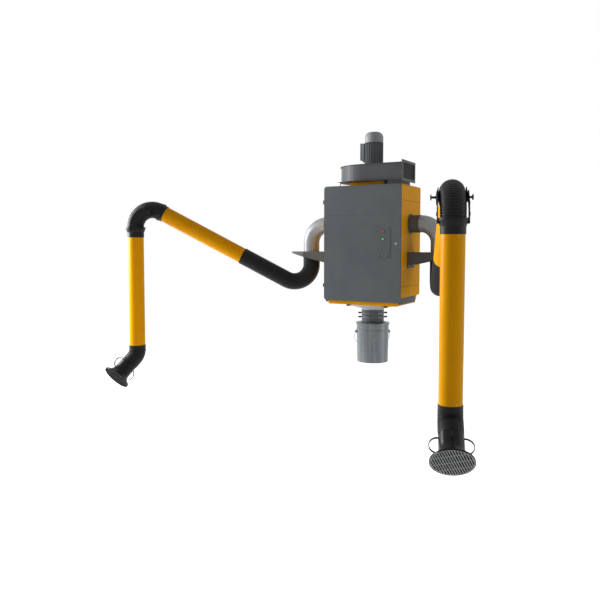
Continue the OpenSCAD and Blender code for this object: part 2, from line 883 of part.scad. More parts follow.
outlet_w = scroll_r1 + scroll_r0 * sin(tongue_angle);
outlet_mid_y = -(scroll_r1 - scroll_r0 * sin(tongue_angle)) / 2;
outlet_mid_z = scroll_z + scroll_h / 2;
foot_w = 130;
foot_x = 250;

module fan_scroll() {
  foot_front = front_y - fan_y;
  color("dimgray") translate([0, fan_y, 0]) difference() {
    union() {
      translate([0, 0, scroll_z]) linear_extrude(scroll_h)
        polygon(volute(0, outlet_x - outlet_t / 2));
      for (z = [scroll_z, scroll_top - fan_plate_t])
        translate([0, 0, z]) linear_extrude(fan_plate_t)
          polygon(volute(scroll_lip, outlet_x - outlet_t / 2));
      box([-base_w / 2, -base_w / 2, base_z], [base_w / 2, base_w / 2, scroll_z]);
      box([outlet_x - outlet_t, outlet_mid_y - outlet_w / 2 - outlet_lip,
          outlet_mid_z - scroll_h / 2 - outlet_lip],
        [outlet_x, outlet_mid_y + outlet_w / 2 + outlet_lip,
          outlet_mid_z + scroll_h / 2 + outlet_lip]);
      box([foot_x, foot_front, roof_z],
        [foot_x + foot_w, outlet_mid_y + outlet_w / 2 - scroll_lip, scroll_z]);
    }
    translate([0, 0, scroll_z + fan_plate_t])
      linear_extrude(scroll_h - 2 * fan_plate_t)
        polygon(volute(-scroll_t, outlet_x + over));
    translate([0, 0, base_z - over])
      cylinder(r = fan_inlet_r, h = 2 * fan_plate_t + 2 * over);
    translate([0, 0, scroll_top - fan_plate_t - over])
      cylinder(r = hub_r + fan_plate_t, h = fan_plate_t + 2 * over);
    box([foot_x + sheet_t, foot_front + sheet_t, roof_z - over],
      [foot_x + foot_w - sheet_t, outlet_mid_y + outlet_w / 2 - scroll_lip - sheet_t,
        base_z]);
    for (sy = [-1, 1], sz = [-1, 1])
      translate([outlet_x + over, outlet_mid_y + sy * (outlet_w + outlet_lip) / 2,
          outlet_mid_z + sz * (scroll_h + outlet_lip) / 2]) rotate([0, -90, 0])
        cylinder(r = outlet_hole_r, h = outlet_t + 2 * over);
    translate([0, -fan_y, 0]) {
      base_bolt_places() translate([0, 0, -bolt_l - over])
        cylinder(r = bolt_hole_r, h = bolt_l + 2 * over);
      motor_bolt_places() translate([0, 0, -motor_flange_h - bolt_l])
        cylinder(r = bolt_hole_r, h = bolt_l + over);
    }
  }
}

module impeller() {
  top = scroll_top - fan_plate_t - impeller_gap;
  floor_z = scroll_z + fan_plate_t + impeller_gap;
  color("silver") translate([0, fan_y, 0]) difference() {
    union() {
      translate([0, 0, top - impeller_t]) cylinder(r = impeller_r, h = impeller_t);
      translate([0, 0, top - hub_h]) cylinder(r = hub_r, h = hub_h);
      translate([0, 0, floor_z]) cylinder(r = impeller_r, h = impeller_t);
      for (i = [0:blade_n - 1]) rotate([0, 0, 360 / blade_n * i])
        translate([0, 0, floor_z + impeller_t / 2])
          linear_extrude(top - floor_z - impeller_t) blade();
    }
    translate([0, 0, floor_z - over]) cylinder(r = fan_inlet_r - loose,
      h = impeller_t + over + loose);
    translate([0, 0, floor_z]) cylinder(r = shaft_r, h = top - floor_z + over);
  }
}

// Backward-curved blade from the inlet's rim to the impeller's edge
module blade() {
  bow = impeller_r * 0.9;
  intersection() {
    difference() { circle(impeller_r - loose); circle(fan_inlet_r + loose); }
    translate([0, -bow]) intersection() {
      difference() { circle(impeller_r); circle(impeller_r - blade_t); }
      square(2 * impeller_r);
    }
  }
}

module motor_shaft() {
  low = scroll_top - fan_plate_t - impeller_gap - hub_h;
  color("silver") translate([0, fan_y, 0]) {
    translate([0, 0, low]) cylinder(r = shaft_r, h = motor_top + cowl_shoulder - low);
    translate([0, 0, motor_z + (motor_h - rotor_h) / 2]) cylinder(r = rotor_r, h = rotor_h);
    translate([0, 0, motor_top + fin_t]) difference() {
      cylinder(r = cooling_r, h = cooling_h);
      for (i = [0:7]) rotate([0, 0, 45 * i])
        box([shaft_r + fin_deep, -cooling_r / 8, -over],
          [cooling_r - fin_t, cooling_r / 8, cooling_h + over]);
    }
  }
}

module motor_body() {
  color("gray") translate([0, fan_y, 0]) difference() {
    union() {
      translate([0, 0, scroll_top]) cylinder(r = motor_flange_r, h = motor_flange_h);
      translate([0, 0, motor_z]) cylinder(r = motor_core_r, h = motor_h);
      for (i = [0:fin_n - 1]) rotate([0, 0, 360 / fin_n * i])
        box([motor_core_r - over, -fin_t / 2, motor_z], [motor_r, fin_t / 2, motor_top]);
    }
    translate([0, 0, motor_z]) cylinder(r = motor_core_r - motor_wall,
      h = motor_h - motor_wall);
    translate([0, 0, scroll_top - over])
      cylinder(r = shaft_r + running, h = motor_h + motor_flange_h + 2 * over);
    translate([0, -fan_y, 0]) motor_bolt_places()
      translate([0, 0, -motor_flange_h - over])
        cylinder(r = bolt_hole_r, h = motor_flange_h + 2 * over);
  }
}

module motor_cowl() {
  color("lightgray") translate([0, fan_y, motor_top]) difference() {
    rotate_extrude() cowl_outline(motor_r, cowl_h);
    translate([0, 0, -over]) rotate_extrude() cowl_outline(motor_r - cowl_t,
      cowl_h - cowl_t + over);
    for (i = [0:cowl_slot_n - 1]) rotate([0, 0, 360 / cowl_slot_n * i])
      box([shaft_r + cowl_t, -cowl_slot_w / 2, cowl_h / 2],
        [motor_r * 0.55, cowl_slot_w / 2, cowl_h + over]);
  }
}

// Half section of the cowl: a straight skirt and a rounded dome
module cowl_outline(r, h) {
  polygon(concat([[0, 0], [r, 0], [r, h - cowl_shoulder]],
    [for (a = [15:15:90]) [r * (0.45 + 0.55 * cos(a)),
      h - cowl_shoulder + cowl_shoulder * sin(a)]],
    [[0, h]]));
}

module motor_box() {
  s = terminal_size;
  x1 = -motor_r + fin_t;
  color("gray") translate([0, fan_y, terminal_z]) difference() {
    union() {
      box([x1 - s[0], -s[1] / 2, 0], [x1, s[1] / 2, s[2]]);
      translate([x1 - s[0] / 2, 0, -gland_h]) cylinder(r = gland_r, h = gland_h + over);
    }
    box([x1 - s[0] + fin_t, -s[1] / 2 + fin_t, fin_t],
      [x1 - fin_t, s[1] / 2 - fin_t, s[2] - fin_t]);
    translate([x1 - s[0] / 2, 0, -gland_h - over])
      cylinder(r = cable_r, h = gland_h + fin_t + 2 * over);
    translate([0, 0, -over]) cylinder(r = motor_r + loose, h = s[2] + 2 * over);
  }
}

/* Fasteners that hold the frame together */

module base_bolt_places() {
  for (share = base_bolt_shares)
    translate([share[0] * (base_w / 2 - base_bolt_in),
      fan_y + share[1] * (base_w / 2 - base_bolt_in), scroll_z]) children();
}

module motor_bolt_places() {
  for (a = [45:90:315]) translate([0, fan_y, scroll_top + motor_flange_h])
    rotate([0, 0, a]) translate([motor_bolt_ring, 0, 0]) children();
}

module bracket_bolt_places(s) {
  for (sy = [-1, 1], sz = [0, 1])
    translate([s * (half_w + bracket_t), duct_y + sy * bracket_bolt_dy / 2,
        bracket_z - bracket_t - base_bolt_in - sz * bracket_bolt_dz])
      rotate([0, s * 90, 0]) children();
}

module rail_bolt_places() {
  for (sx = [-1, 1], sz = [-1, 1])
    translate([sx * rail_l / 4, back_y - sheet_t, sz * wall_bolt_dz / 2])
      rotate([90, 0, 0]) children();
}

module frame_bolts() {
  color("silver") {
    for (s = [-1, 1]) bracket_bolt_places(s)
      hex_bolt(bolt_r, bolt_head_r, bolt_head_h, bolt_l);
    rail_bolt_places() hex_bolt(bolt_r, bolt_head_r, bolt_head_h, bolt_l);
    base_bolt_places() {
      hex_bolt(bolt_r, bolt_head_r, bolt_head_h, bolt_l);
      translate([0, 0, -fan_plate_t - plenum_h]) cylinder(r = bolt_head_r - over,
        h = plenum_h);
    }
    motor_bolt_places() hex_bolt(bolt_r, bolt_head_r, bolt_head_h, bolt_l + fan_plate_t);
  }
}

/* Ducts and brackets */

module inlet_collars() {
  color("slategray") for (s = [-1, 1]) scale_x(s)
    translate([half_w, duct_y, duct_z]) rotate([0, 90, 0]) difference() {
      union() {
        cylinder(r = tube_r + collar_t, h = collar_l);
        cylinder(r = collar_flange_r, h = bolt_r);
      }
      translate([0, 0, -over]) cylinder(r = tube_r + loose, h = collar_l + 2 * over);
    }
}

// One duct as a solid of radius r: into the cabinet, round the bend and down
module duct_solid(r, grow) {
  translate([half_w - sheet_t - grow, duct_y, duct_z]) rotate([0, 90, 0])
    cylinder(r = r, h = collar_l + sheet_t + grow);
  translate([half_w + collar_l, duct_y, duct_z - duct_bend_r]) rotate([90, 0, 0])
    rotate_extrude(angle = 90) translate([duct_bend_r, 0]) circle(r);
  translate([arm_x, duct_y, duct_end_z - grow])
    cylinder(r = r, h = duct_z - duct_bend_r - duct_end_z + grow);
}

module inlet_ducts() {
  color("lightgray") for (s = [-1, 1]) scale_x(s) difference() {
    union() {
      duct_solid(tube_r, 0);
      translate([arm_x, duct_y, duct_end_z]) cylinder(r = lip_r, h = lip_h);
    }
    duct_solid(tube_r - duct_t, over);
  }
}

// Plan of a bracket's plate, w wide to each side of its middle
function bracket_plan(w, x0) = [
  [x0, -w], [arm_out + w / 2, -w], [arm_out + bracket_tip, -w / 3],
  [arm_out + bracket_tip, w / 3], [arm_out + w / 2, w], [x0, w]];

module arm_brackets() {
  out = bracket_in + gusset_t;
  color("dimgray") for (s = [-1, 1]) scale_x(s) translate([half_w, duct_y, bracket_z])
    difference() {
      union() {
        translate([0, 0, -bracket_t]) linear_extrude(bracket_t)
          polygon(bracket_plan(out, 0));
        intersection() {
          translate([0, 0, -gusset_h]) linear_extrude(gusset_h) difference() {
            polygon(bracket_plan(out, 0));
            translate([-gusset_t, 0]) polygon(bracket_plan(bracket_in, 0));
          }
          translate([0, out + over, 0]) rotate([90, 0, 0])
            linear_extrude(2 * (out + over)) polygon([[0, over], [0, -gusset_h],
              [arm_out + bracket_tip + over, -bracket_t * 3],
              [arm_out + bracket_tip + over, over]]);
        }
        box([0, -out, -gusset_h - base_bolt_in], [bracket_t, out, 0]);
      }
      translate([arm_out, 0, -bracket_t - over])
        cylinder(r = tube_r + loose, h = bracket_t + 2 * over);
      translate([-half_w, -duct_y, -bracket_z]) bracket_bolt_places(1)
        translate([0, 0, -bracket_t - over])
          cylinder(r = bolt_hole_r, h = bracket_t + 2 * over);
    }
}

/* Dust side */

module hopper_cone() {
  r = hopper_r;
  z = tray_z;
  color("gainsboro") translate([0, fan_y, 0]) difference() {
    union() {
      rotate_extrude() polygon([
        [r - hopper_t, z], [r + hopper_flange, z], [r + hopper_flange, z - hopper_t],
        [r, z - hopper_t], [r, z - hopper_skirt], [spout_r + hopper_t, hopper_bottom],
        [spout_r, hopper_bottom - hopper_t], [spout_r, hopper_bottom - spout_l],
        [spout_r - hopper_t, hopper_bottom - spout_l],
        [spout_r - hopper_t, hopper_bottom], [r - hopper_t, z - hopper_skirt]]);
      // lugs on the rim for the clamps
      translate([0, -fan_y, 0]) clamp_places() translate([0, 0, -hopper_t])
        cylinder(r = clamp_stud_r + clamp_lug, h = hopper_t);
    }
    translate([0, -fan_y, 0]) clamp_places() translate([0, 0, -hopper_t - over])
      cylinder(r = clamp_stud_r + loose, h = hopper_t + 2 * over);
  }
}

module clamp_places() {
  for (s = [0, 180], a = [-clamp_angle, clamp_angle])
    translate([0, fan_y, tray_z]) rotate([0, 0, s + a]) translate([clamp_ring_r, 0, 0])
      children();
}

module hopper_clamps() {
  color("black") clamp_places() {
    translate([0, 0, -hopper_t - clamp_knob_h]) difference() {
      cylinder(r = clamp_knob_r, h = clamp_knob_h);
      for (i = [0:5]) rotate([0, 0, 60 * i]) translate([clamp_knob_r + bolt_r, 0, -over])
        cylinder(r = bolt_head_r, h = clamp_knob_h + 2 * over);
    }
    translate([0, 0, -hopper_t - over])
      cylinder(r = clamp_stud_r, h = hopper_t + over + clamp_knob_h / 2);
  }
}

module bin_neck() {
  color("darkslategray") translate([0, fan_y, sleeve_bottom]) difference() {
    union() {
      cylinder(r = spout_r + loose + sleeve_wall, h = sleeve_l);
      for (share = clamp_shares) translate([0, 0, sleeve_l * (1 - share)])
        rotate([0, 0, ear_angle]) {
          cylinder(r = clamp_r, h = clamp_h);
          box([-clamp_r - clamp_ear, -clamp_h / 2, clamp_h / 4],
            [clamp_r + clamp_ear, clamp_h / 2, clamp_h * 3 / 4]);
        }
    }
    translate([0, 0, -over]) cylinder(r = spout_r + loose, h = sleeve_l + 2 * over);
  }
}

module bin_lid() {
  skirt_r = bin_top_r + curl_r + loose;
  top = lid_z;
  color("dimgray") translate([0, fan_y, 0]) rotate_extrude() polygon([
    [spout_r - lid_t, top + spout_l], [spout_r, top + spout_l], [spout_r, top + lid_t],
    [spout_r + curl_r, top], [skirt_r, top - lid_slope], [skirt_r + lid_t, top - lid_slope],
    [skirt_r + lid_t, top - lid_slope - lid_skirt], [skirt_r, top - lid_slope - lid_skirt],
    [skirt_r, top - lid_slope - lid_t], [spout_r + curl_r, top - lid_t],
    [spout_r - lid_t, top]]);
}

module dust_bin() {
  t = bin_top_z;
  b = bin_bottom_z;
  color("silver") translate([0, fan_y, 0]) difference() {
    union() {
      translate([0, 0, b]) cylinder(r1 = bin_foot_r, r2 = bin_top_r, h = bin_h);
      translate([0, 0, t - 2 * curl_r]) cylinder(r = bin_top_r + curl_r - loose,
        h = 2 * curl_r);
      translate([0, 0, bead_z]) rotate_extrude()
        translate([bin_wall_r(bead_z), 0]) circle(bead_r);
      rotate([0, 0, ear_angle]) for (s = [-1, 1]) scale_x(s)
        box([bin_wall_r(ear_z) - bead_r, -ear_w / 2, ear_z - ear_h / 2],
          [bin_top_r + ear_out, ear_w / 2, ear_z + ear_h / 2]);
    }
    translate([0, 0, b + foot_h]) cylinder(r1 = bin_foot_r - bin_t, r2 = bin_top_r - bin_t,
      h = bin_h - foot_h + over / 100);
    translate([0, 0, b - over]) cylinder(r = bin_foot_r - foot_h, h = foot_h + over - bin_t);
    rotate([0, 0, ear_angle]) translate([0, 0, ear_z]) for (s = [-1, 1])
      translate([s * (bin_top_r - bead_r), 0, 0]) rotate([0, s * 90, 0])
        cylinder(r = wire_r + running, h = ear_out + bead_r + over);
  }
}

// Outside radius of the bin's wall at a height
function bin_wall_r(z) = bin_foot_r + (bin_top_r - bin_foot_r) * (z - bin_bottom_z) / bin_h;

bail_r = bin_top_r + ear_out + wire_r + 2 * loose;

module bin_bail() {
  color("silver") translate([0, fan_y, ear_z]) rotate([0, 0, ear_angle])
    rotate([-bail_hang, 0, 0]) {
      for (s = [-1, 1]) {
        translate([s * (bin_top_r + loose), 0, 0]) rotate([0, s * 90, 0])
          cylinder(r = wire_r, h = ear_out + wire_r + loose);
        translate([s * bail_r, 0, 0]) sphere(r = wire_r);
        translate([s * bail_r, bail_leg, 0]) rotate([90, 0, 0])
          cylinder(r = wire_r, h = bail_leg);
      }
      translate([0, bail_leg, 0]) rotate_extrude(angle = 180)
        translate([bail_r, 0]) circle(wire_r);
    }
}

/* Door and controls */

module front_door() {
  inner_w = cabinet_w - 2 * sheet_t;
  color("slategray") difference() {
    union() {
      translate([0, door_back_y, 0]) rotate([90, 0, 0]) linear_extrude(door_t)
        round_rect(cabinet_w, 2 * door_half_h, door_r);
      for (sz = [-1, 1]) translate([hinge_x, hinge_y, sz * hinge_z - knuckle_h / 2 + loose]) {
        cylinder(r = knuckle_r, h = knuckle_h - loose);
        box([0, -knuckle_r / 2, 0],
          [hinge_out + sheet_t, knuckle_r / 2, knuckle_h - loose]);
      }
    }
    translate([0, door_back_y + over, 0]) rotate([90, 0, 0])
      linear_extrude(door_t - sheet_t + over)
        round_rect(inner_w, 2 * door_half_h - 2 * sheet_t, door_r - sheet_t);
    for (sz = [-1, 1]) translate([hinge_x, hinge_y, sz * hinge_z - knuckle_h])
      cylinder(r = hinge_pin_r + running, h = 2 * knuckle_h);
    box([panel_x - panel_w / 2 + panel_overlap, door_front_y - over,
        panel_z - panel_h / 2 + panel_overlap],
      [panel_x + panel_w / 2 - panel_overlap, door_front_y + door_t,
        panel_z + panel_h / 2 - panel_overlap]);
    translate([lock_x, door_front_y - over, 0]) rotate([-90, 0, 0])
      cylinder(r = lock_shaft_r + running, h = sheet_t + 2 * over);
    box([-half_w + door_r, door_front_y - over, door_line_z - door_line_w / 2],
      [half_w - door_r, door_front_y + door_line_deep, door_line_z + door_line_w / 2]);
  }
}

module door_lock() {
  cam_y = front_y + sheet_t + loose;
  color("dimgray") translate([lock_x, 0, 0]) difference() {
    union() {
      translate([0, door_front_y - lock_head_t, 0]) rotate([-90, 0, 0])
        cylinder(r = lock_r, h = lock_head_t);
      translate([0, door_front_y - over, 0]) rotate([-90, 0, 0])
        cylinder(r = lock_shaft_r, h = cam_y + cam_t - door_front_y + over);
      box([-cam_half, cam_y, -cam_half], [cam_half, cam_y + cam_t, cam_l]);
    }
    box([-sheet_t / 2, door_front_y - lock_head_t - over, -lock_r / 2],
      [sheet_t / 2, door_front_y - lock_head_t / 2, lock_r / 2]);
  }
}

module on_panel(i) { translate([panel_at(i)[0], 0, panel_at(i)[1]]) children(); }

// Cylinder along +Y from y0 to y1
module y_disc(r, y0, y1) {
  translate([0, y0, 0]) rotate([-90, 0, 0]) cylinder(r = r, h = y1 - y0);
}

module control_panel() {
  in = panel_overlap + loose;
  box_back = panel_y + panel_t + panel_box_d;
  color("darkslategray") difference() {
    union() {
      box([panel_x - panel_w / 2, panel_y, panel_z - panel_h / 2],
        [panel_x + panel_w / 2, door_front_y, panel_z + panel_h / 2]);
      box([panel_x - panel_w / 2 + in, panel_y + over / 2, panel_z - panel_h / 2 + in],
        [panel_x + panel_w / 2 - in, box_back, panel_z + panel_h / 2 - in]);
    }
    for (i = [0, 1]) on_panel(i) y_disc(lamp_r + loose / 2, panel_y - over, panel_y + lamp_out);
    for (i = [2, 3]) on_panel(i) {
      y_disc(button_r + loose, panel_y - over, panel_y + panel_t + over);
      y_disc(button_r + button_flange + loose, panel_y + panel_t,
        box_back - panel_t / 2);
    }
  }
}

module lamp(i) { on_panel(i) y_disc(lamp_r, panel_y - lamp_out, panel_y + lamp_out); }
module lamp_red() { color("red") lamp(0); }
module lamp_green() { color("limegreen") lamp(1); }

module push_button(i) {
  flange_y = panel_y + panel_t + loose;
  on_panel(i) {
    y_disc(button_r, panel_y - button_out, flange_y + over);
    y_disc(button_r + button_flange, flange_y, flange_y + button_flange);
    y_disc(button_r / 2, flange_y + over, panel_y - button_out + button_l);
  }
}
module start_button() { color("silver") push_button(2); }
module stop_button() { color("silver") push_button(3); }

/* Arms, the same on both sides but for the direction they point */

module hanger(side) {
  top = hanger_top;
  low = hanger_bottom;
  spigot_r = hose_bore_r * cos(22.5) - loose;
  in_r = spigot_r - spigot_t;
  groove = duct_end_z + lip_h;
  color("silver") arm_frame(side) difference() {
    union() {
      rotate_extrude() polygon([
        [in_r, low - spigot_l], [spigot_r, low - spigot_l], [spigot_r, low],
        [hanger_r, low], [hanger_r, top], [tube_r + running, top],
        [tube_r + running, groove + loose], [lip_r + loose, groove + loose],
        [lip_r + loose, duct_end_z - loose], [in_r, duct_end_z - loose]]);
      box([-link_half, -in_r - over, low - crossbar_h], [link_half, in_r + over, low]);
      both_plates(link_t / 2 + cheek_gap, link_t / 2 + cheek_gap + cheek_t) {
        translate([0, shoulder_z]) translate([-link_half, 0])
          square([2 * link_half, low - over - shoulder_z]);
        translate(shoulder_c) ring_sector(hose_bend_r - link_half,
          hose_bend_r + link_half, 180, 180 + pin_turn);
        translate(shoulder_pin) circle(link_half + 2 * cheek_gap);
      }
      translate([shoulder_pin[0], 0, shoulder_pin[1]]) rotate([90, 0, 0])
        cylinder(r = shoulder_pin_r, h = link_t + 4 * cheek_t, center = true);
    }
    translate([0, 0, duct_end_z - loose])
      cylinder(r = tube_r - duct_t, h = top - duct_end_z + over);
  }
}

module shoulder_hose(side) {
  start = hanger_bottom - loose;
  color("#2b2b2b") arm_frame(side) ribbed_hose([0, start], -90, start - shoulder_z,
    hose_bend_r, turn, inner_hose_l - loose);
}

link_tail = 120;
spider_t = 8;
spider_shares = [0.35, 0.9];

module link(side) {
  r_in = tube_r - arm_tube_t - running;
  color("silver") {
    arm_frame(side) arm_plate(-link_t / 2, link_t / 2) difference() {
      union() {
        translate(shoulder_pin) circle(link_half + 2 * cheek_gap);
        translate(shoulder_c) ring_sector(hose_bend_r - link_half,
          hose_bend_r + link_half, 180 + pin_turn, 180 + turn);
        translate(shoulder_out) rotate(arm_rise) translate([0, -link_half])
          square([inner_hose_l + link_tail, 2 * link_half]);
      }
      translate(shoulder_pin) circle(shoulder_pin_r + running);
    }
    inner_frame(side) for (share = spider_shares)
      translate([0, 0, inner_hose_l + link_tail * share - spider_t]) intersection() {
        cylinder(r = r_in, h = spider_t);
        union() {
          box([-link_half, -tube_r, 0], [link_half, tube_r, spider_t]);
          box([-tube_r, -link_half, 0], [tube_r, link_half, spider_t]);
        }
      }
  }
}

module inner_tube(side) {
  end = inner_l - inner_seat_l - running;
  color("gold") inner_frame(side) translate([0, 0, inner_hose_l])
    tube(tube_r, arm_tube_t, end - inner_hose_l);
}

// Round collar on a tube's end, with a seat for the hose; local Z points to the hose
module end_collar(length, seat) {
  rotate_extrude() polygon([
    [sleeve_bore, -length], [sleeve_bore + sleeve_t, -length],
    [sleeve_bore + sleeve_t, -seat - ring_h], [collar_ring_r, -ring_h],
    [collar_ring_r, -collar_end], [seat_r, -collar_end], [seat_r, -seat],
    [sleeve_bore, -seat]]);
}

module inner_fork(side) {
  lug = inner_l - inner_seat_l;
  w0 = fork_in;
  w1 = fork_in + fork_t;
  base = elbow_in - (inner_seat_l + collar_end) / 2 * inner_dir;
  ear = pivot + ear_at;
  color("#333333") {
    inner_frame(side) translate([0, 0, inner_l]) rotate_extrude() polygon([
      [sleeve_bore, -inner_collar_l], [sleeve_bore + sleeve_t, -inner_collar_l],
      [sleeve_bore + sleeve_t, -inner_seat_l - sleeve_t],
      [fork_in + sleeve_t / 2, -inner_seat_l],
      [fork_in + sleeve_t / 2, -collar_end], [seat_r, -collar_end],
      [seat_r, -inner_seat_l], [sleeve_bore, -inner_seat_l]]);
    arm_frame(side) {
      both_plates(w0, w1) {
        tangent_link(base, side_lug_half / 2, pivot, inner_boss_r);
        tangent_link(pivot, inner_boss_r, ear, ear_r);
      }
      for (s = [-1, 1]) {
        translate([pivot[0], s * w0, pivot[1]]) rotate([-s * 90, 0, 0])
          cylinder(r = stud_r, h = outer_plate_w + fork_t + knob_stem - w0);
        translate([ear[0], s * (w1 - over), ear[1]]) rotate([-s * 90, 0, 0])
          cylinder(r = dot_r, h = over + dot_t);
      }
    }
  }
}

module elbow_hose(side) {
  lead = inner_seat_l - loose;
  start = elbow_in - lead * inner_dir;
  color("#2b2b2b") arm_frame(side)
    ribbed_hose(start, arm_rise, lead, hose_bend_r, -turn, seat_l - loose);
}

arm_band_in = 134;
arm_band_out = 206;
arm_band_end = 60;
dot_angles = [8, 34];

module outer_fork(side) {
  w0 = outer_plate_w;
  w1 = outer_plate_w + fork_t;
  mid = (arm_band_in + arm_band_out) / 2;
  last = elbow_c + mid * [cos(arm_band_end), sin(arm_band_end)];
  color("#333333") {
    outer_frame(side) translate([0, 0, elbow_out[1]]) end_collar(outer_collar_l, seat_l);
    arm_frame(side) {
      difference() {
        union() {
          both_plates(w0, w1) {
            translate(elbow_c)
              ring_sector(arm_band_in, arm_band_out, 0, arm_band_end);
            translate(elbow_c + [arm_band_in, -seat_l])
              square([arm_band_out - arm_band_in, seat_l + over]);
            tangent_link(last, (arm_band_out - arm_band_in) / 2, pivot,
              inner_boss_r - sleeve_t);
          }
          both_plates(w0 - boss_t, w0 + over) translate(pivot) circle(boss_r);
          both_plates(seat_r, w1) translate(elbow_out - [side_lug_half, seat_l])
            square([side_lug_half * 2, ring_h + sleeve_t]);
          for (s = [-1, 1], a = dot_angles)
            translate([elbow_c[0] + mid * cos(a), s * (w1 - over),
              elbow_c[1] + mid * sin(a)]) rotate([-s * 90, 0, 0])
              cylinder(r = dot_r, h = over + 2 * dot_t);
        }
        translate([pivot[0], 0, pivot[1]]) rotate([90, 0, 0])
          cylinder(r = stud_r + running, h = 4 * w1, center = true);
        translate([elbow_out[0], 0, elbow_out[1] - seat_l - over])
          cylinder(r = seat_r, h = seat_l + over);
      }
    }
  }
}

module outer_tube(side) {
  top = elbow_out[1] - seat_l - running;
  color("gold") outer_frame(side) translate([0, 0, tube_end_z])
    tube(tube_r, arm_tube_t, top - tube_end_z);
}

// Friction knob on a pivot stud, on the side w = +1 or -1
module friction_knob(side, w) {
  start = outer_plate_w + fork_t + plate_gap;
  color("#1e1e1e") arm_frame(side) translate([pivot[0], w * start, pivot[1]])
    rotate([-w * 90, 0, 0]) difference() {
      union() {
        cylinder(r = knob_stem_r + sleeve_t, h = sleeve_t);
        cylinder(r = knob_stem_r, h = knob_stem + sleeve_t);
        translate([0, 0, knob_stem]) cylinder(r = knob_r, h = knob_head_t);
      }
      translate([0, 0, -over]) cylinder(r = stud_r + running, h = knob_stem + over);
      for (i = [0:5]) rotate([0, 0, 60 * i])
        translate([knob_r + sleeve_t, 0, knob_stem - over])
          cylinder(r = boss_t * 2, h = knob_head_t + 2 * over);
    }
}

/* Hoods */

module hood_collar(side) {
  top = collar_top_z;
  low = hood_hose_z;
  floor_z = tube_end_z - loose;
  r_in = hose_bore_r * cos(22.5) - spigot_t - loose;
  w0 = hood_cheek_gap;
  w1 = hood_cheek_gap + hood_cheek_t;
  color("#333333") turn_frame(side) {
    rotate_extrude() polygon([
      [tube_r + running, top], [tube_r + sleeve_t, top], [tube_r + sleeve_t, low],
      [r_in, low], [r_in, floor_z], [tube_r + running, floor_z]]);
    box([-rod_r, -r_in - over, low], [rod_r, r_in + over, floor_z]);
    box([-rod_r, -w1, hood_pivot[1] + 2 * hood_eye_r], [rod_r, w1, low + over]);
    both_plates(w0, w1) {
      translate(hood_pivot) circle(hood_eye_r);
      translate(hood_pivot - [rod_r, 0]) square([2 * rod_r, 3 * hood_eye_r]);
    }
    translate([hood_pivot[0], 0, hood_pivot[1]]) rotate([90, 0, 0])
      cylinder(r = hood_pin_r, h = 2 * w1 + 2 * over, center = true);
  }
}

module hood_hose(side) {
  color("#2b2b2b") turn_frame(side) ribbed_hose([0, hood_hose_z - loose], -90,
    hood_hose_in - loose, hood_bend_r, hood_tilt, hood_hose_out - loose);
}

// Half section of the hood's bell, moved in by d: neck, concave flare and rim
function bell(d, grow) = concat(
  [[0, -grow], [neck_r - d, -grow], [neck_r - d, neck_l]],
  [for (i = [1:flare_steps]) let (a = 90 * i / flare_steps)
    [neck_r - d + (mouth_r - neck_r) * (1 - cos(a)), neck_l + flare_l * sin(a)]],
  [[mouth_r - d, neck_l + flare_l + rim_l + grow], [0, neck_l + flare_l + rim_l + grow]]);

module hood(side) {
  r_in = neck_r - hood_t;
  eye = [hood_pivot[0] - hood_out[0], hood_pivot[1] - hood_out[1]];
  seat = hood_hose_out;
  end = seat - hood_spigot_l;
  spigot_r = hose_bore_r * cos(22.5) - loose;
  spigot_in = spigot_r - spigot_t;
  // the pivot as seen from the hood's own frame
  px = -eye[0] * cos(hood_tilt) - eye[1] * sin(hood_tilt);
  pz = eye[0] * sin(hood_tilt) - eye[1] * cos(hood_tilt);
  run = [-px, end - pz];
  color("#2e2e2e") hood_frame(side) {
    translate([0, 0, seat]) rotate([0, 0, neck_angle(side)]) difference() {
      union() {
        rotate_extrude() polygon(bell(0, 0));
        for (s = [-1, 1]) translate([0, s * ring_out, neck_l * ring_share])
          rotate([0, 90, 0]) difference() {
            cylinder(r = ring_r, h = ring_w, center = true);
            cylinder(r = ring_r - ring_t, h = ring_w + 2 * over, center = true);
          }
      }
      rotate_extrude() polygon(bell(hood_t, over));
      translate([-neck_r - over, 0, damper_at]) rotate([0, 90, 0])
        cylinder(r = spindle_r + running, h = 2 * neck_r + 2 * over);
    }
    translate([0, 0, end]) tube(spigot_r, spigot_t, hood_spigot_l + hood_t);
    translate([0, 0, seat]) difference() {
      cylinder(r = r_in + over, h = hood_t);
      translate([0, 0, -over]) cylinder(r = spigot_in, h = hood_t + 2 * over);
    }
    translate([0, 0, end])
      box([-rod_r, -spigot_in - over, 0], [rod_r, spigot_in + over, spider_h]);
    difference() {
      union() {
        translate([px, 0, pz]) rotate([0, atan2(run[0], run[1]), 0]) {
          cylinder(r = rod_r - over, h = norm(run) + spider_h / 2);
          cylinder(r = rod_r - over, h = 2 * hood_eye_r);
        }
        translate([px, 0, pz]) rotate([90, 0, 0])
          cylinder(r = hood_eye_r, h = 2 * (hood_cheek_gap - loose), center = true);
      }
      translate([px, 0, pz]) rotate([90, 0, 0])
        cylinder(r = hood_pin_r + running, h = 4 * hood_cheek_gap, center = true);
    }
  }
}

module grille(side) {
  r = mouth_r - hood_t - running;
  z = hood_hose_out + neck_l + flare_l + rim_l - grille_t - over;
  n = floor(r / grille_pitch);
  color("dimgray") hood_frame(side) translate([0, 0, z]) {
    linear_extrude(grille_t) rotate(grille_angle + neck_angle(side)) {
      difference() { circle(r); circle(r - grille_bar); }
      intersection() {
        circle(r - over);
        union() {
          for (i = [-n:n]) translate([-r, i * grille_pitch - grille_bar / 2])
            square([2 * r, grille_bar]);
          for (i = [-1:1]) translate([i * r / 2 - grille_bar / 4, -r])
            square([grille_bar / 2, 2 * r]);
        }
      }
    }
  }
}

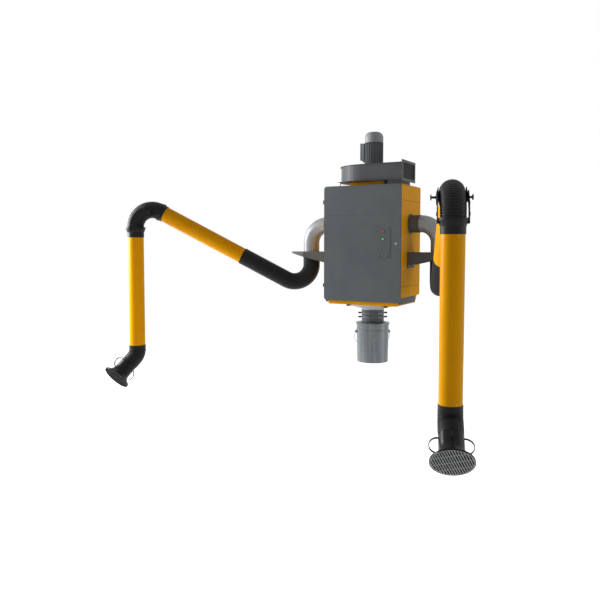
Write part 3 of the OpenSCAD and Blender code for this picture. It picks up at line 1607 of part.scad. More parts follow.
module damper(side) {
  at = hood_hose_out + damper_at;
  out = neck_r + loose;
  color("silver") hood_frame(side) rotate([0, 0, neck_angle(side)]) translate([0, 0, at]) {
    rotate([0, -90, 0]) translate([0, 0, -neck_r + over])
      cylinder(r = spindle_r, h = 2 * neck_r - over + damper_knob_l);
    translate([0, -damper_t / 2, 0]) rotate([-90, 0, 0])
      cylinder(r = damper_r, h = damper_t);
    translate([-out - damper_knob_l, 0, 0]) {
      rotate([0, 90, 0]) cylinder(r = 2 * spindle_r, h = damper_knob_l);
      box([0, -spindle_r, -damper_lever / 2],
        [damper_knob_l / 2, spindle_r, damper_lever]);
    }
  }
}

wall_rails();
cabinet_shell();
base_rails();
tube_sheet();
filter_cartridges();
pulse_tank();
fan_plenum();
fan_scroll();
motor_body();
motor_cowl();
motor_box();
impeller();
motor_shaft();
inlet_collars();
inlet_ducts();
arm_brackets();
frame_bolts();
hopper_cone();
hopper_clamps();
bin_neck();
bin_lid();
dust_bin();
bin_bail();
front_door();
door_lock();
control_panel();
lamp_red();
lamp_green();
start_button();
stop_button();
hanger(-1);  // left_hanger
shoulder_hose(-1);  // left_shoulder_hose
link(-1);  // left_link
inner_tube(-1);  // left_inner_tube
inner_fork(-1);  // left_inner_fork
elbow_hose(-1);  // left_elbow_hose
outer_fork(-1);  // left_outer_fork
outer_tube(-1);  // left_outer_tube
friction_knob(-1, 1);  // left_knob_a
friction_knob(-1, -1);  // left_knob_b
hood_collar(-1);  // left_hood_collar
hood_hose(-1);  // left_hood_hose
hood(-1);  // left_hood
grille(-1);  // left_grille
damper(-1);  // left_damper
hanger(1);  // right_hanger
shoulder_hose(1);  // right_shoulder_hose
link(1);  // right_link
inner_tube(1);  // right_inner_tube
inner_fork(1);  // right_inner_fork
elbow_hose(1);  // right_elbow_hose
outer_fork(1);  // right_outer_fork
outer_tube(1);  // right_outer_tube
friction_knob(1, 1);  // right_knob_a
friction_knob(1, -1);  // right_knob_b
hood_collar(1);  // right_hood_collar
hood_hose(1);  // right_hood_hose
hood(1);  // right_hood
grille(1);  // right_grille
damper(1);  // right_damper
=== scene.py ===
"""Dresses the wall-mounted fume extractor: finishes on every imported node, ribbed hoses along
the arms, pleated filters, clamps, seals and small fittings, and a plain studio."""

import logging
import math
from dataclasses import dataclass, field
from enum import Enum
from typing import Iterable, Mapping, Optional, Sequence

import bmesh
import bpy
from mathutils import Matrix, Vector


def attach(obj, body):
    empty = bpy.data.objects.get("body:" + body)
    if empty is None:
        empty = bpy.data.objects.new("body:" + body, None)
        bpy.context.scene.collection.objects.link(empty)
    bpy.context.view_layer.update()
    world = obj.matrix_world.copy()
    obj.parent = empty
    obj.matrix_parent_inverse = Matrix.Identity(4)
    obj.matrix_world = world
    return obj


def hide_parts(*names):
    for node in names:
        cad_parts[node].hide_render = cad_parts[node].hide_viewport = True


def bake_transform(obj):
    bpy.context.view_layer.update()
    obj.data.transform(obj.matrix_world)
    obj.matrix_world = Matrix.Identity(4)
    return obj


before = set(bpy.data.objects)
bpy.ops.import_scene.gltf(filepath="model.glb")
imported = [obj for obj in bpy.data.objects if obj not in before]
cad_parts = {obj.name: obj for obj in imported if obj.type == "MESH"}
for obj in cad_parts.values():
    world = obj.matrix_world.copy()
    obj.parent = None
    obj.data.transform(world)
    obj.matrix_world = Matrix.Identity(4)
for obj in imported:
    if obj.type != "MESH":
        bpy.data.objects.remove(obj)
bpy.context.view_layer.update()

log = logging.getLogger("fume_extractor")

MM = 0.001
# The output of a noise node that holds its grey value.
NOISE_GREY = 0
# From here up, a finish takes its gloss from its colour and not from a specular level.
MOSTLY_METAL = 0.5


# Colours and nodes.


def linear(hex_code: str) -> tuple[float, float, float, float]:
    """Turns an sRGB hex colour into the linear colour that a shader takes.

    Args:
        hex_code: Six hex digits, with or without a leading #.

    Returns:
        Red, green, blue and an alpha of 1.
    """
    digits = hex_code.lstrip("#")
    parts = [int(digits[i : i + 2], 16) / 255 for i in (0, 2, 4)]
    lin = [p / 12.92 if p <= 0.04045 else ((p + 0.055) / 1.055) ** 2.4 for p in parts]
    return (lin[0], lin[1], lin[2], 1.0)


def add_node(
    tree: bpy.types.NodeTree,
    kind: str,
    settings: Optional[Mapping] = None,
    links: Optional[Mapping] = None,
) -> bpy.types.Node:
    """Adds one node, sets its inputs or properties and links sockets into it.

    Args:
        tree: The node tree that gets the node.
        kind: The node's type name.
        settings: Values by input name, input number or property name.
        links: Sockets by the input name or number that they feed.

    Returns:
        The new node.
    """
    node = tree.nodes.new(kind)
    for key, value in (settings or {}).items():
        if isinstance(key, int) or key in node.inputs:
            node.inputs[key].default_value = value
        else:
            setattr(node, key, value)
    for key, socket in (links or {}).items():
        tree.links.new(socket, node.inputs[key])
    return node


def per_metre(size_mm: float) -> float:
    """Texture scale that makes one feature of a pattern this many millimetres across."""
    return 1000.0 / size_mm


def mm(x: float, y: float, z: float) -> Vector:
    """A point or offset given in millimetres, in metres."""
    return Vector((x, y, z)) * MM


# Finishes.


@dataclass
class Surface:
    """A material that is being built: its tree, shader, object coordinates and edge normal."""

    tree: bpy.types.NodeTree
    shader: bpy.types.Node
    where: bpy.types.NodeSocket
    edge: bpy.types.NodeSocket

    def pattern(
        self,
        kind: str,
        size_mm: float,
        output: str | int,
        at: Optional[bpy.types.NodeSocket] = None,
        **settings: object,
    ) -> bpy.types.NodeSocket:
        """Adds a noise or cell texture whose features have a real size.

        Args:
            kind: Noise or Voronoi.
            size_mm: How wide one feature is.
            output: The output that is wanted.
            at: The coordinates, or none for the object's own.
            settings: Further inputs or properties by name.

        Returns:
            That output's socket.
        """
        values = {"Scale": per_metre(size_mm), **settings}
        return add_node(
            self.tree, f"ShaderNodeTex{kind}", values, {"Vector": at or self.where}
        ).outputs[output]

    def noise(self, size_mm: float, **settings: object) -> bpy.types.NodeSocket:
        """The grey value of a noise whose features are this many millimetres wide."""
        return self.pattern("Noise", size_mm, NOISE_GREY, **settings)

    def tint(
        self,
        mask: bpy.types.NodeSocket,
        low: str,
        high: str,
        ease: tuple[float, float] = (0.3, 0.7),
    ) -> None:
        """Lets a mask carry the base colour from one hex colour to another.

        Args:
            mask: A socket from 0 to 1.
            low: The colour where the mask is low.
            high: The colour where the mask is high.
            ease: Where along the mask the change starts and ends.
        """
        ramp = add_node(self.tree, "ShaderNodeValToRGB", {}, {0: mask})
        for stop, at, colour in zip(ramp.color_ramp.elements, ease, (low, high)):
            stop.position = at
            stop.color = linear(colour)
        self.tree.links.new(ramp.outputs[0], self.shader.inputs["Base Color"])

    def gloss(self, mask: bpy.types.NodeSocket, low: float, high: float) -> None:
        """Lets a mask carry the roughness from low to high."""
        spread = add_node(
            self.tree, "ShaderNodeMapRange", {"To Min": low, "To Max": high}, {"Value": mask}
        )
        self.tree.links.new(spread.outputs[0], self.shader.inputs["Roughness"])

    def relief(self, height: bpy.types.NodeSocket, depth_mm: float) -> None:
        """Bumps the rounded surface by a height socket, depth_mm high in reality."""
        bump = add_node(
            self.tree,
            "ShaderNodeBump",
            {"Strength": 1.0, "Distance": depth_mm * MM},
            {"Height": height, "Normal": self.edge},
        )
        self.tree.links.new(bump.outputs[0], self.shader.inputs["Normal"])


@dataclass(frozen=True)
class Finish:
    """A surface: its name, its colour and how it takes the light."""

    name: str
    colour: str
    roughness: float = 0.5
    metallic: float = 0.0
    ior: float = 1.5
    edge_mm: float = 1.2
    shine: float = 0.3

    def material(self) -> bpy.types.Material:
        """Builds the material: plain values first, then what the kind of finish adds."""
        mat = bpy.data.materials.new(self.name)
        mat.use_nodes = True
        tree = mat.node_tree
        values = {"Roughness": self.roughness, "Metallic": self.metallic}
        if self.metallic < MOSTLY_METAL:
            values |= {"IOR": self.ior, "Specular IOR Level": self.shine}
        shader = tree.nodes["Principled BSDF"]
        shader.inputs["Base Color"].default_value = linear(self.colour)
        for name, value in values.items():
            shader.inputs[name].default_value = value
        mat.diffuse_color = linear(self.colour)
        where = add_node(tree, "ShaderNodeTexCoord").outputs["Object"]
        edge = add_node(
            tree, "ShaderNodeBevel", {"samples": 4, "Radius": self.edge_mm * MM}
        ).outputs["Normal"]
        self.build(Surface(tree, shader, where, edge))
        return mat

    def build(self, on: Surface) -> None:
        """Adds what makes this kind of finish; each kind has its own.

        Args:
            on: The surface that it goes on.
        """
        raise NotImplementedError


@dataclass(frozen=True)
class PowderCoat(Finish):
    """Polyester powder, sprayed on steel and baked: an even colour with fine orange peel."""

    low: str = "#000000"
    high: str = "#FFFFFF"
    peel_mm: float = 2.2
    peel_depth_mm: float = 0.03
    patch_mm: float = 260.0

    def build(self, on: Surface) -> None:
        """Adds wide faint patches, and orange peel at its real size of about 2 mm."""
        patch = on.noise(self.patch_mm, Detail=4.0, Roughness=0.6)
        on.tint(patch, self.low, self.high)
        on.gloss(patch, self.roughness - 0.06, self.roughness + 0.07)
        on.relief(on.noise(self.peel_mm, Detail=2.0), self.peel_depth_mm)


@dataclass(frozen=True)
class Galvanised(Finish):
    """Steel sheet out of a zinc bath: pale grey metal with feathered spangles, and, where streaks
    are set, upright streaks of painted reflection.
    """

    low: str = "#9BA0A4"
    high: str = "#C9CDD0"
    spangle_mm: float = 14.0
    reflection_streak_mm: float = 0.0

    def build(self, on: Surface) -> None:
        """Adds spangles, each with its own shade, and upright streaks of painted reflection in the
        colour.
        """
        stir = on.pattern("Noise", self.spangle_mm * 0.7, "Color")
        bend = add_node(
            on.tree,
            "ShaderNodeVectorMath",
            {"operation": "MULTIPLY_ADD", 1: (self.spangle_mm * MM * 0.6,) * 3},
            {0: stir, 2: on.where},
        )
        cell = on.pattern("Voronoi", self.spangle_mm, "Color", bend.outputs[0])
        shade = add_node(on.tree, "ShaderNodeSeparateColor", {}, {0: cell})
        mask, ease = shade.outputs[0], (0.0, 1.0)
        # The streaks are painted reflection: upright light and dark bands in the colour that stand
        # in for what the metal wall reflects.
        if self.reflection_streak_mm:
            upright_stretch = add_node(
                on.tree,
                "ShaderNodeVectorMath",
                {"operation": "MULTIPLY", 1: (1.0, 1.0, 0.05)},
                {0: on.where},
            )
            painted_reflection = on.noise(self.reflection_streak_mm, at=upright_stretch.outputs[0], Detail=2.0)
            mask = add_node(
                on.tree,
                "ShaderNodeMath",
                {"operation": "MULTIPLY_ADD", 1: 0.04},
                {0: mask, 2: painted_reflection},
            ).outputs[0]
            ease = (0.4, 0.7)
        on.tint(mask, self.low, self.high, ease)
        on.gloss(shade.outputs[1], self.roughness - 0.07, self.roughness + 0.1)
        on.relief(shade.outputs[2], 0.02)


@dataclass(frozen=True)
class CastPaint(Finish):
    """Enamel over die-cast aluminium: sand-like grain under a satin paint."""

    grain_mm: float = 3.0

    def build(self, on: Surface) -> None:
        """Adds the casting's grain as bumps and uneven gloss."""
        grain = on.noise(self.grain_mm, Detail=5.0, Roughness=0.65)
        on.gloss(grain, self.roughness - 0.1, self.roughness + 0.1)
        on.relief(grain, 0.12)


@dataclass(frozen=True)
class MouldedPlastic(Finish):
    """Injection-moulded plastic: the spark-eroded grain of its mould, and a dull sheen."""

    grain_mm: float = 1.6
    rub_mm: float = 90.0
    worn: str = "#2E3033"

    def build(self, on: Surface) -> None:
        """Adds mould grain drawn a little coarse, and handled paler patches."""
        rub = on.noise(self.rub_mm, Detail=6.0)
        on.tint(rub, self.colour, self.worn, (0.45, 0.75))
        on.gloss(rub, self.roughness + 0.06, self.roughness - 0.06)
        on.relief(on.noise(self.grain_mm), 0.05)


@dataclass(frozen=True)
class HoseCloth(Finish):
    """PVC-coated polyester cloth drawn over a wire coil: woven valleys, rubbed shiny ribs."""

    thread_mm: float = 2.0
    rib: str = "#3B3D40"

    def build(self, on: Surface) -> None:
        """Adds a plain weave drawn at 2 mm, and paler rib tops."""
        rib = add_node(on.tree, "ShaderNodeAttribute", {"attribute_name": "rib"}).outputs["Fac"]
        on.tint(rib, self.colour, self.rib, (0.15, 1.0))
        on.gloss(rib, self.roughness + 0.12, self.roughness - 0.1)
        on.relief(on.pattern("Voronoi", self.thread_mm, "Distance", distance="CHEBYCHEV"), 0.04)
        on.shader.inputs["Sheen Weight"].default_value = 0.03


@dataclass(frozen=True)
class PlatedSteel(Finish):
    """Bright zinc on turned or drawn steel: small smooth parts with fine draw marks."""

    mark_mm: float = 6.0

    def build(self, on: Surface) -> None:
        """Adds draw marks and a faint uneven gloss."""
        marks = on.noise(self.mark_mm, Detail=8.0, Roughness=0.7)
        on.gloss(marks, self.roughness - 0.08, self.roughness + 0.14)
        on.relief(marks, 0.03)


@dataclass(frozen=True)
class FeltMedia(Finish):
    """Needled polyester felt, pleated: matt off-white fibres with a little dust."""

    fuzz_mm: float = 2.5
    dust_mm: float = 120.0
    soiled: str = "#CFCBC0"

    def build(self, on: Surface) -> None:
        """Adds fibre fuzz and patches of dust."""
        on.tint(on.noise(self.dust_mm, Detail=5.0), self.soiled, self.colour)
        on.relief(on.noise(self.fuzz_mm, Detail=6.0), 0.2)
        on.shader.inputs["Sheen Weight"].default_value = 0.25


@dataclass(frozen=True)
class LampLens(Finish):
    """Coloured polycarbonate lens over a lit lamp: clear skin, glowing body."""

    ring_mm: float = 3.0
    glow: float = 0.4

    def build(self, on: Surface) -> None:
        """Adds fine prism cells, light from inside and a clear coat."""
        on.relief(on.pattern("Voronoi", self.ring_mm, "Distance", feature="SMOOTH_F1"), 0.3)
        on.shader.inputs["Emission Color"].default_value = linear(self.colour)
        on.shader.inputs["Emission Strength"].default_value = self.glow
        on.shader.inputs["Coat Weight"].default_value = 0.5


class Paint(Enum):
    """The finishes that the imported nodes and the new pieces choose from."""

    # Polyester powder on sheet steel: an even amber yellow with a soft broad shine.
    YELLOW = PowderCoat(
        "sprayed_yellow_powder_coat", "#F2A904", 0.42, shine=0.03, low="#EFA203", high="#F8B008"
    )
    # The same powder on rolled tube, a little brighter and glossier because the tube is smooth.
    TUBE = PowderCoat(
        "sprayed_yellow_tube_coat", "#FDAE04", 0.32, shine=0.06, low="#FAA803", high="#FFB406",
        patch_mm=400.0,
    )
    # Fine-textured powder on the door: dull blue-grey that hides finger marks.
    SLATE = PowderCoat(
        "textured_slate_powder_coat", "#646A6D", 0.55, shine=0.15, low="#606669", high="#686E71",
        peel_mm=1.6, peel_depth_mm=0.06,
    )
    # Smooth dark powder on brackets, rails and collars.
    DARK = PowderCoat(
        "sprayed_dark_grey_powder_coat", "#646665", 0.45, shine=0.08, low="#5F6160", high="#6A6C6B"
    )
    # Graphite powder on the fan's spun housing: glossier, so the curve shows a broad pale streak.
    FAN = PowderCoat(
        "sprayed_graphite_powder_coat", "#606366", 0.34, shine=0.06, low="#5B5D60", high="#66696C"
    )
    # White powder on the hopper and the air tank.
    LIGHT = PowderCoat(
        "sprayed_light_grey_powder_coat", "#E6E6EC", 0.4, low="#E0E0E7", high="#ECECF1"
    )
    # Enamel on cast aluminium: dull, with the casting's grain under it.
    MOTOR = CastPaint("enamelled_cast_aluminium", "#8C9093", 0.42, shine=0.08)
    # The same enamel on the pressed cowl, smoother and paler.
    COWL = CastPaint("enamelled_pressed_cowl", "#A2A7AA", 0.4, shine=0.15)
    # Hot-dipped zinc on the pail: half metal, half chalky oxide, with upright streaks of painted
    # reflection in its colour.
    PAIL = Galvanised(
        "galvanised_rolled_steel", "#72777A", 0.34, 0.6, low="#63686B", high="#7F8487",
        spangle_mm=11.0, reflection_streak_mm=30.0,
    )
    # Bright zinc sheet inside the cabinet and the fan: paler crystals a thumb's width across.
    ZINC = Galvanised("galvanised_steel_sheet", "#B0B4B7", 0.36, 1.0, low="#A2A6AA", high="#BEC2C5")
    # Zinc on the bent ducts, dulled by handling.
    DUCT = Galvanised(
        "galvanised_bent_duct", "#989A9D", 0.44, 0.35, shine=0.2, low="#909297", high="#A0A2A6",
        spangle_mm=9.0,
    )
    # Bright zinc plating on bolts, pins and wire.
    STEEL = PlatedSteel("zinc_plated_steel", "#A9ACAF", 0.34, 1.0, edge_mm=0.6)
    # Glass-filled nylon: near black, with a dull handled sheen.
    PLASTIC = MouldedPlastic("moulded_black_polyamide", "#17181A", 0.46, shine=0.2, worn="#232427")
    # The same nylon moulded in a polished tool, as the hoods are: sharper highlights on the neck.
    HOOD = MouldedPlastic(
        "polished_black_polyamide", "#1E1F21", 0.26, shine=0.1, worn="#242527"
    )
    # The left grille's bars: black.
    DARK_GRILLE = MouldedPlastic("moulded_black_grille", "#101113", 0.6, shine=0.06, worn="#17181A")
    # The right grille's bars are coloured pale grey as painted highlight for the light from below
    # that they catch: pale lines against the dark throat.
    PAINTED_HIGHLIGHT_GRILLE = MouldedPlastic("painted_highlight_grille", "#B2B4B6", 0.55, shine=0.2, worn="#BEC0C2")
    # Black powder on the arm's forks and clamps.
    BLACK = PowderCoat(
        "sprayed_black_powder_coat", "#1B1C1E", 0.45, shine=0.15, low="#18191B", high="#202123",
        peel_mm=1.8,
    )
    # Coated cloth over a wire coil: almost black, rib tops a shade paler.
    HOSE = HoseCloth("coated_polyester_hose_cloth", "#1D1E20", 0.5, shine=0.12, rib="#232426")
    # Ethylene rubber for the door's seal.
    RUBBER = MouldedPlastic("moulded_black_epdm_rubber", "#191A1B", 0.7, shine=0.15, worn="#222324")
    # Painted shadow in the folded seams of the cabinet: a thin dark brown line where the fold lies
    # in shade.
    SEAM = MouldedPlastic("painted_seam_shadow", "#6E4A08", 0.6, worn="#7C560E")
    # Needled felt, folded into pleats.
    FELT = FeltMedia("pleated_polyester_felt", "#E6E4DB", 0.95)
    # Printed film on the control panel, here left plain.
    PANEL = MouldedPlastic(
        "satin_polyester_panel_film", "#62686B", 0.42, shine=0.15, worn="#666C6F"
    )
    # Reinforced rubber sleeve between hopper and pail.
    SLEEVE = MouldedPlastic(
        "moulded_grey_rubber_sleeve", "#646A70", 0.26, shine=0.1, worn="#6C7378"
    )
    # Signal lamps: coloured polycarbonate, lit from behind.
    RED = LampLens("moulded_red_lens", "#C8203C", 0.25, glow=0.35)
    GREEN = LampLens("moulded_green_lens", "#3CC85A", 0.25, glow=0.6)
    # Push buttons: pale grey ABS.
    BUTTON = MouldedPlastic("moulded_light_grey_button", "#83888B", 0.4, worn="#8C9194")


class PaintShop:
    """Makes each material once and puts it on nodes and pieces."""

    def __init__(self) -> None:
        """Starts with no material made."""
        self.made: dict[Paint, bpy.types.Material] = {}

    def get(self, paint: Paint) -> bpy.types.Material:
        """The material of a finish, made on first use."""
        if paint not in self.made:
            self.made[paint] = paint.value.material()
        return self.made[paint]

    def coat_nodes(self, coats: Mapping[Paint, Iterable[str]], prefix: str = "") -> None:
        """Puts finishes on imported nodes.

        Args:
            coats: For each finish, the names of its nodes.
            prefix: What stands before each of these names.
        """
        for paint, names in coats.items():
            for name in names:
                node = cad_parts[prefix + name]
                if not node.material_slots:
                    node.data.materials.append(self.get(paint))
                for slot in node.material_slots:
                    slot.material = self.get(paint)
                log.info("node %s: %s", node.name, paint.value.name)


# Mesh building.


@dataclass
class MeshParts:
    """Vertices, faces and their paint numbers, gathered before one mesh is made."""

    verts: list[Vector] = field(default_factory=list)
    faces: list[tuple[int, ...]] = field(default_factory=list)
    paints: list[int] = field(default_factory=list)
    ribs: list[float] = field(default_factory=list)

    def grid(
        self,
        rows: Sequence[Sequence[Vector]],
        closed: bool,
        paint: int = 0,
        ribs: Optional[Sequence[float]] = None,
    ) -> None:
        """Adds a skin through rows of points.

        Args:
            rows: Rows of points, all of one length.
            closed: Whether each row closes on itself.
            paint: Number of the finish on these faces.
            ribs: One rib height from 0 to 1 for each point.
        """
        start, count = len(self.verts), len(rows[0])
        for row in rows:
            self.verts.extend(row)
        self.ribs.extend(ribs if ribs is not None else [0.0] * (len(rows) * count))
        for i in range(len(rows) - 1):
            for j in range(count if closed else count - 1):
                k = (j + 1) % count
                a, b = start + i * count, start + (i + 1) * count
                self.faces.append((a + j, a + k, b + k, b + j))
                self.paints.append(paint)

    def cap(self, ring: Sequence[Vector], paint: int = 0) -> None:
        """Adds one face over a ring of points."""
        start = len(self.verts)
        self.verts.extend(ring)
        self.ribs.extend([0.0] * len(ring))
        self.faces.append(tuple(range(start, start + len(ring))))
        self.paints.append(paint)

    def lathe(
        self,
        profile: Sequence[tuple[float, float]],
        place: Matrix,
        steps: int = 48,
        paint: int = 0,
        close: bool = True,
    ) -> None:
        """Turns a profile about the Z axis of a place.

        Args:
            profile: Radius and height pairs in millimetres.
            place: Where the axis stands, in metres.
            steps: Number of steps around.
            paint: Number of the finish.
            close: Whether the profile runs back to its first point.
        """
        pts = list(profile) + ([profile[0]] if close else [])
        rows = []
        for r, z in pts:
            ring = [2 * math.pi * j / steps for j in range(steps)]
            rows.append(
                [place @ Vector((r * MM * math.cos(t), r * MM * math.sin(t), z * MM)) for t in ring]
            )
        self.grid(rows, True, paint)

    def block(
        self, size: tuple[float, float, float], place: Matrix, round_mm: float = 1.0, paint: int = 0
    ) -> None:
        """Adds a box whose edges are cut back, so that they catch the light.

        Args:
            size: Width, depth and height in millimetres.
            place: The middle of the box, in metres.
            round_mm: How far the edges are cut back.
            paint: Number of the finish.
        """
        x, y, z = (s / 2 * MM for s in size)
        r = round_mm * MM
        rows = []
        for cut, height in ((r, -z), (0.0, -z + r), (0.0, z - r), (r, z)):
            a, b = x - cut, y - cut
            ring = [
                (a - r, -b), (a, -b + r), (a, b - r), (a - r, b),
                (-a + r, b), (-a, b - r), (-a, -b + r), (-a + r, -b),
            ]
            rows.append([place @ Vector((u, v, height)) for u, v in ring])
        self.grid(rows, True, paint)
        self.cap(list(reversed(rows[0])), paint)
        self.cap(rows[-1], paint)

    def obj(
        self, name: str, paints: Sequence[Paint], shop: PaintShop, smooth: float = 40.0
    ) -> bpy.types.Object:
        """Makes the object.

        Args:
            name: The piece's name.
            paints: Its finishes, in the order of their numbers.
            shop: Where the materials come from.
            smooth: Edges flatter than this many degrees are shaded smooth.

        Returns:
            The object, linked to the scene.
        """
        mesh = bpy.data.meshes.new(name)
        mesh.from_pydata([tuple(v) for v in self.verts], [], self.faces)
        for paint in paints:
            mesh.materials.append(shop.get(paint))
        mesh.polygons.foreach_set("material_index", self.paints)
        if any(self.ribs):
            rib = mesh.attributes.new("rib", "FLOAT", "POINT")
            rib.data.foreach_set("value", self.ribs)
        mesh.validate()
        tidy = bmesh.new()
        tidy.from_mesh(mesh)
        bmesh.ops.remove_doubles(tidy, verts=tidy.verts, dist=1e-6)
        bmesh.ops.recalc_face_normals(tidy, faces=tidy.faces)
        tidy.to_mesh(mesh)
        tidy.free()
        mesh.shade_smooth()
        mesh.set_sharp_from_angle(angle=math.radians(smooth))
        piece = bpy.data.objects.new(name, mesh)
        bpy.context.scene.collection.objects.link(piece)
        log.info("piece %s", name)
        return piece


def upright(point: Vector, axis: Vector, spin: float = 0.0) -> Matrix:
    """A place whose Z axis points along axis.

    Args:
        point: The place's origin in metres.
        axis: The direction of its Z axis.
        spin: Degrees that it is turned about that axis.

    Returns:
        The place as a matrix.
    """
    turn = axis.normalized().to_track_quat("Z", "Y").to_matrix().to_4x4()
    return Matrix.Translation(point) @ turn @ Matrix.Rotation(math.radians(spin), 4, "Z")


# Arms.

# How far the brackets' holes stand in front of the wall.
BRACKET_Y = -315.0


class Side(Enum):
    """The two arms: the sign of their bracket's X and the way that each one points."""

    LEFT = ("left", -669.0, 206.5, 50.0)
    RIGHT = ("right", 669.0, -70.5, 0.0)

    @property
    def word(self) -> str:
        """The word that the arm's nodes and bodies start with."""
        return self.value[0]

    @property
    def grille(self) -> Paint:
        """The finish of this arm's grille; the right arm's bars carry painted highlight."""
        return Paint.DARK_GRILLE if self is Side.LEFT else Paint.PAINTED_HIGHLIGHT_GRILLE

    def place(self) -> Matrix:
        """The arm's frame: X outward along the arm, Z up, from the bracket's hole."""
        _, x, swing, _ = self.value
        spin = Matrix.Rotation(math.radians(swing), 4, "Z")
        return Matrix.Translation(mm(x, BRACKET_Y, 0.0)) @ spin

    def turned(self, out: float) -> Matrix:
        """The frame of the hood's turning part, at out millimetres along the arm."""
        spin = Matrix.Rotation(math.radians(self.value[3]), 4, "Z")
        return self.place() @ Matrix.Translation(Vector((out * MM, 0, 0))) @ spin


@dataclass
class Bend:
    """A hose's middle line in one upright plane: straight, bend, straight, in millimetres."""

    start: tuple[float, float]
    heading: float
    lead: float
    radius: float
    turn: float
    tail: float

    @property
    def length(self) -> float:
        """The whole length of the middle line."""
        return self.lead + self.radius * math.radians(abs(self.turn)) + self.tail

    def at(self, s: float) -> tuple[float, float, float]:
        """The point and heading at a distance along the line.

        Args:
            s: Distance from the start in millimetres.

        Returns:
            Outward place, height and heading in degrees.
        """
        u, z, h = self.start[0], self.start[1], math.radians(self.heading)
        step = min(s, self.lead)
        u, z, s = u + step * math.cos(h), z + step * math.sin(h), s - step
        way = 1 if self.turn > 0 else -1
        angle = min(s / self.radius, math.radians(abs(self.turn)))
        if angle > 0:
            cu, cz = u - way * self.radius * math.sin(h), z + way * self.radius * math.cos(h)
            h += way * angle
            u, z = cu + way * self.radius * math.sin(h), cz - way * self.radius * math.cos(h)
            s -= angle * self.radius
        if s > 0:
            u, z = u + s * math.cos(h), z + s * math.sin(h)
        return u, z, math.degrees(h)


@dataclass
class RibbedHose:
    """A cloth hose over a wire coil, one helical rib for each turn of the wire."""

    pitch: float = 15.0
    valley_r: float = 83.0
    rib_r: float = 86.0
    cuff: float = 24.0
    cuff_r: float = 83.4
    wall: float = 2.0
    around: int = 56
    per_rib: int = 7
    rib_power: float = 0.8
    least_rings: int = 8
    lip: float = 30.0

    def ring(
        self, bend: Bend, place: Matrix, s: float, radii: Sequence[float]
    ) -> list[Vector]:
        """Points round the hose at one distance along it.

        Args:
            bend: The hose's middle line.
            place: The frame that the line lies in.
            s: Distance from the start in millimetres.
            radii: The radius at each point, in metres.

        Returns:
            The points in metres.
        """
        u, z, h = bend.at(s)
        lean = (math.sin(math.radians(h)), math.cos(math.radians(h)))
        row = []
        for j, r in enumerate(radii):
            t = 2 * math.pi * j / self.around
            up = r * math.cos(t)
            spot = Vector((u * MM - up * lean[0], r * math.sin(t), z * MM + up * lean[1]))
            row.append(place @ spot)
        return row

    def parts(self, bend: Bend, place: Matrix) -> MeshParts:
        """Builds the hose's skin, and its short inside at both ends.

        Args:
            bend: The hose's middle line.
            place: The frame that the line lies in.

        Returns:
            The gathered mesh.
        """
        rings = max(self.least_rings, int(bend.length / self.pitch * self.per_rib))
        rows, ribs = [], []
        for i in range(rings + 1):
            s = bend.length * i / rings
            ends = min(s, bend.length - s)
            free = min(1.0, max(0.0, (ends - self.cuff * 0.7) / (self.cuff * 0.5)))
            radii = []
            for j in range(self.around):
                turns = s / self.pitch - j / self.around
                rise = (0.5 + 0.5 * math.cos(2 * math.pi * turns)) ** self.rib_power
                ribbed = self.valley_r + (self.rib_r - self.valley_r) * rise
                radii.append((ribbed * free + self.cuff_r * (1 - free)) * MM)
                ribs.append(rise * free)
            rows.append(self.ring(bend, place, s, radii))
        parts = MeshParts()
        parts.grid(rows, True, 0, ribs)
        inner_r = self.cuff_r - self.wall
        for i, inward in ((0, 1), (rings, -1)):
            rims = [
                self.ring(bend, place, bend.length * i / rings + step, [r * MM] * self.around)
                for r, step in ((self.cuff_r, 0.0), (inner_r, 0.0), (inner_r, self.lip * inward))
            ]
            parts.grid(rims, True)
        return parts


@dataclass
class HoseClamp:
    """A worm-drive clamp: a thin band, its housing and its slotted screw."""

    inner_r: float = 83.5
    band_t: float = 1.2
    width: float = 9.0
    housing: tuple[float, float, float] = (10.0, 17.0, 8.0)
    screw_r: float = 3.6
    screw_l: float = 19.0

    def add(self, parts: MeshParts, place: Matrix) -> None:
        """Adds the clamp around the Z axis of a place, its screw on the +X side.

        Args:
            parts: The mesh being gathered.
            place: The middle of the clamp.
        """
        r, t, w = self.inner_r, self.band_t, self.width / 2
        edge = 0.3
        parts.lathe(
            [(r, -w), (r + t - edge, -w), (r + t, -w + edge), (r + t, w - edge),
             (r + t - edge, w), (r, w)],
            place, 64,
        )
        seat = place @ Matrix.Translation(Vector(((r + t / 2) * MM, 0, 0)))
        x, y, z = self.housing[2], self.housing[1], self.width
        parts.block((x / 2, y, z + 1.0), seat, 0.8)
        along = seat @ Matrix.Rotation(math.radians(-90), 4, "X")
        parts.lathe(
            [(0.01, -self.screw_l / 2), (self.screw_r, -self.screw_l / 2),
             (self.screw_r, self.screw_l / 2 - 1), (self.screw_r - 1, self.screw_l / 2),
             (0.01, self.screw_l / 2)],
            along, 12, 0, False,
        )


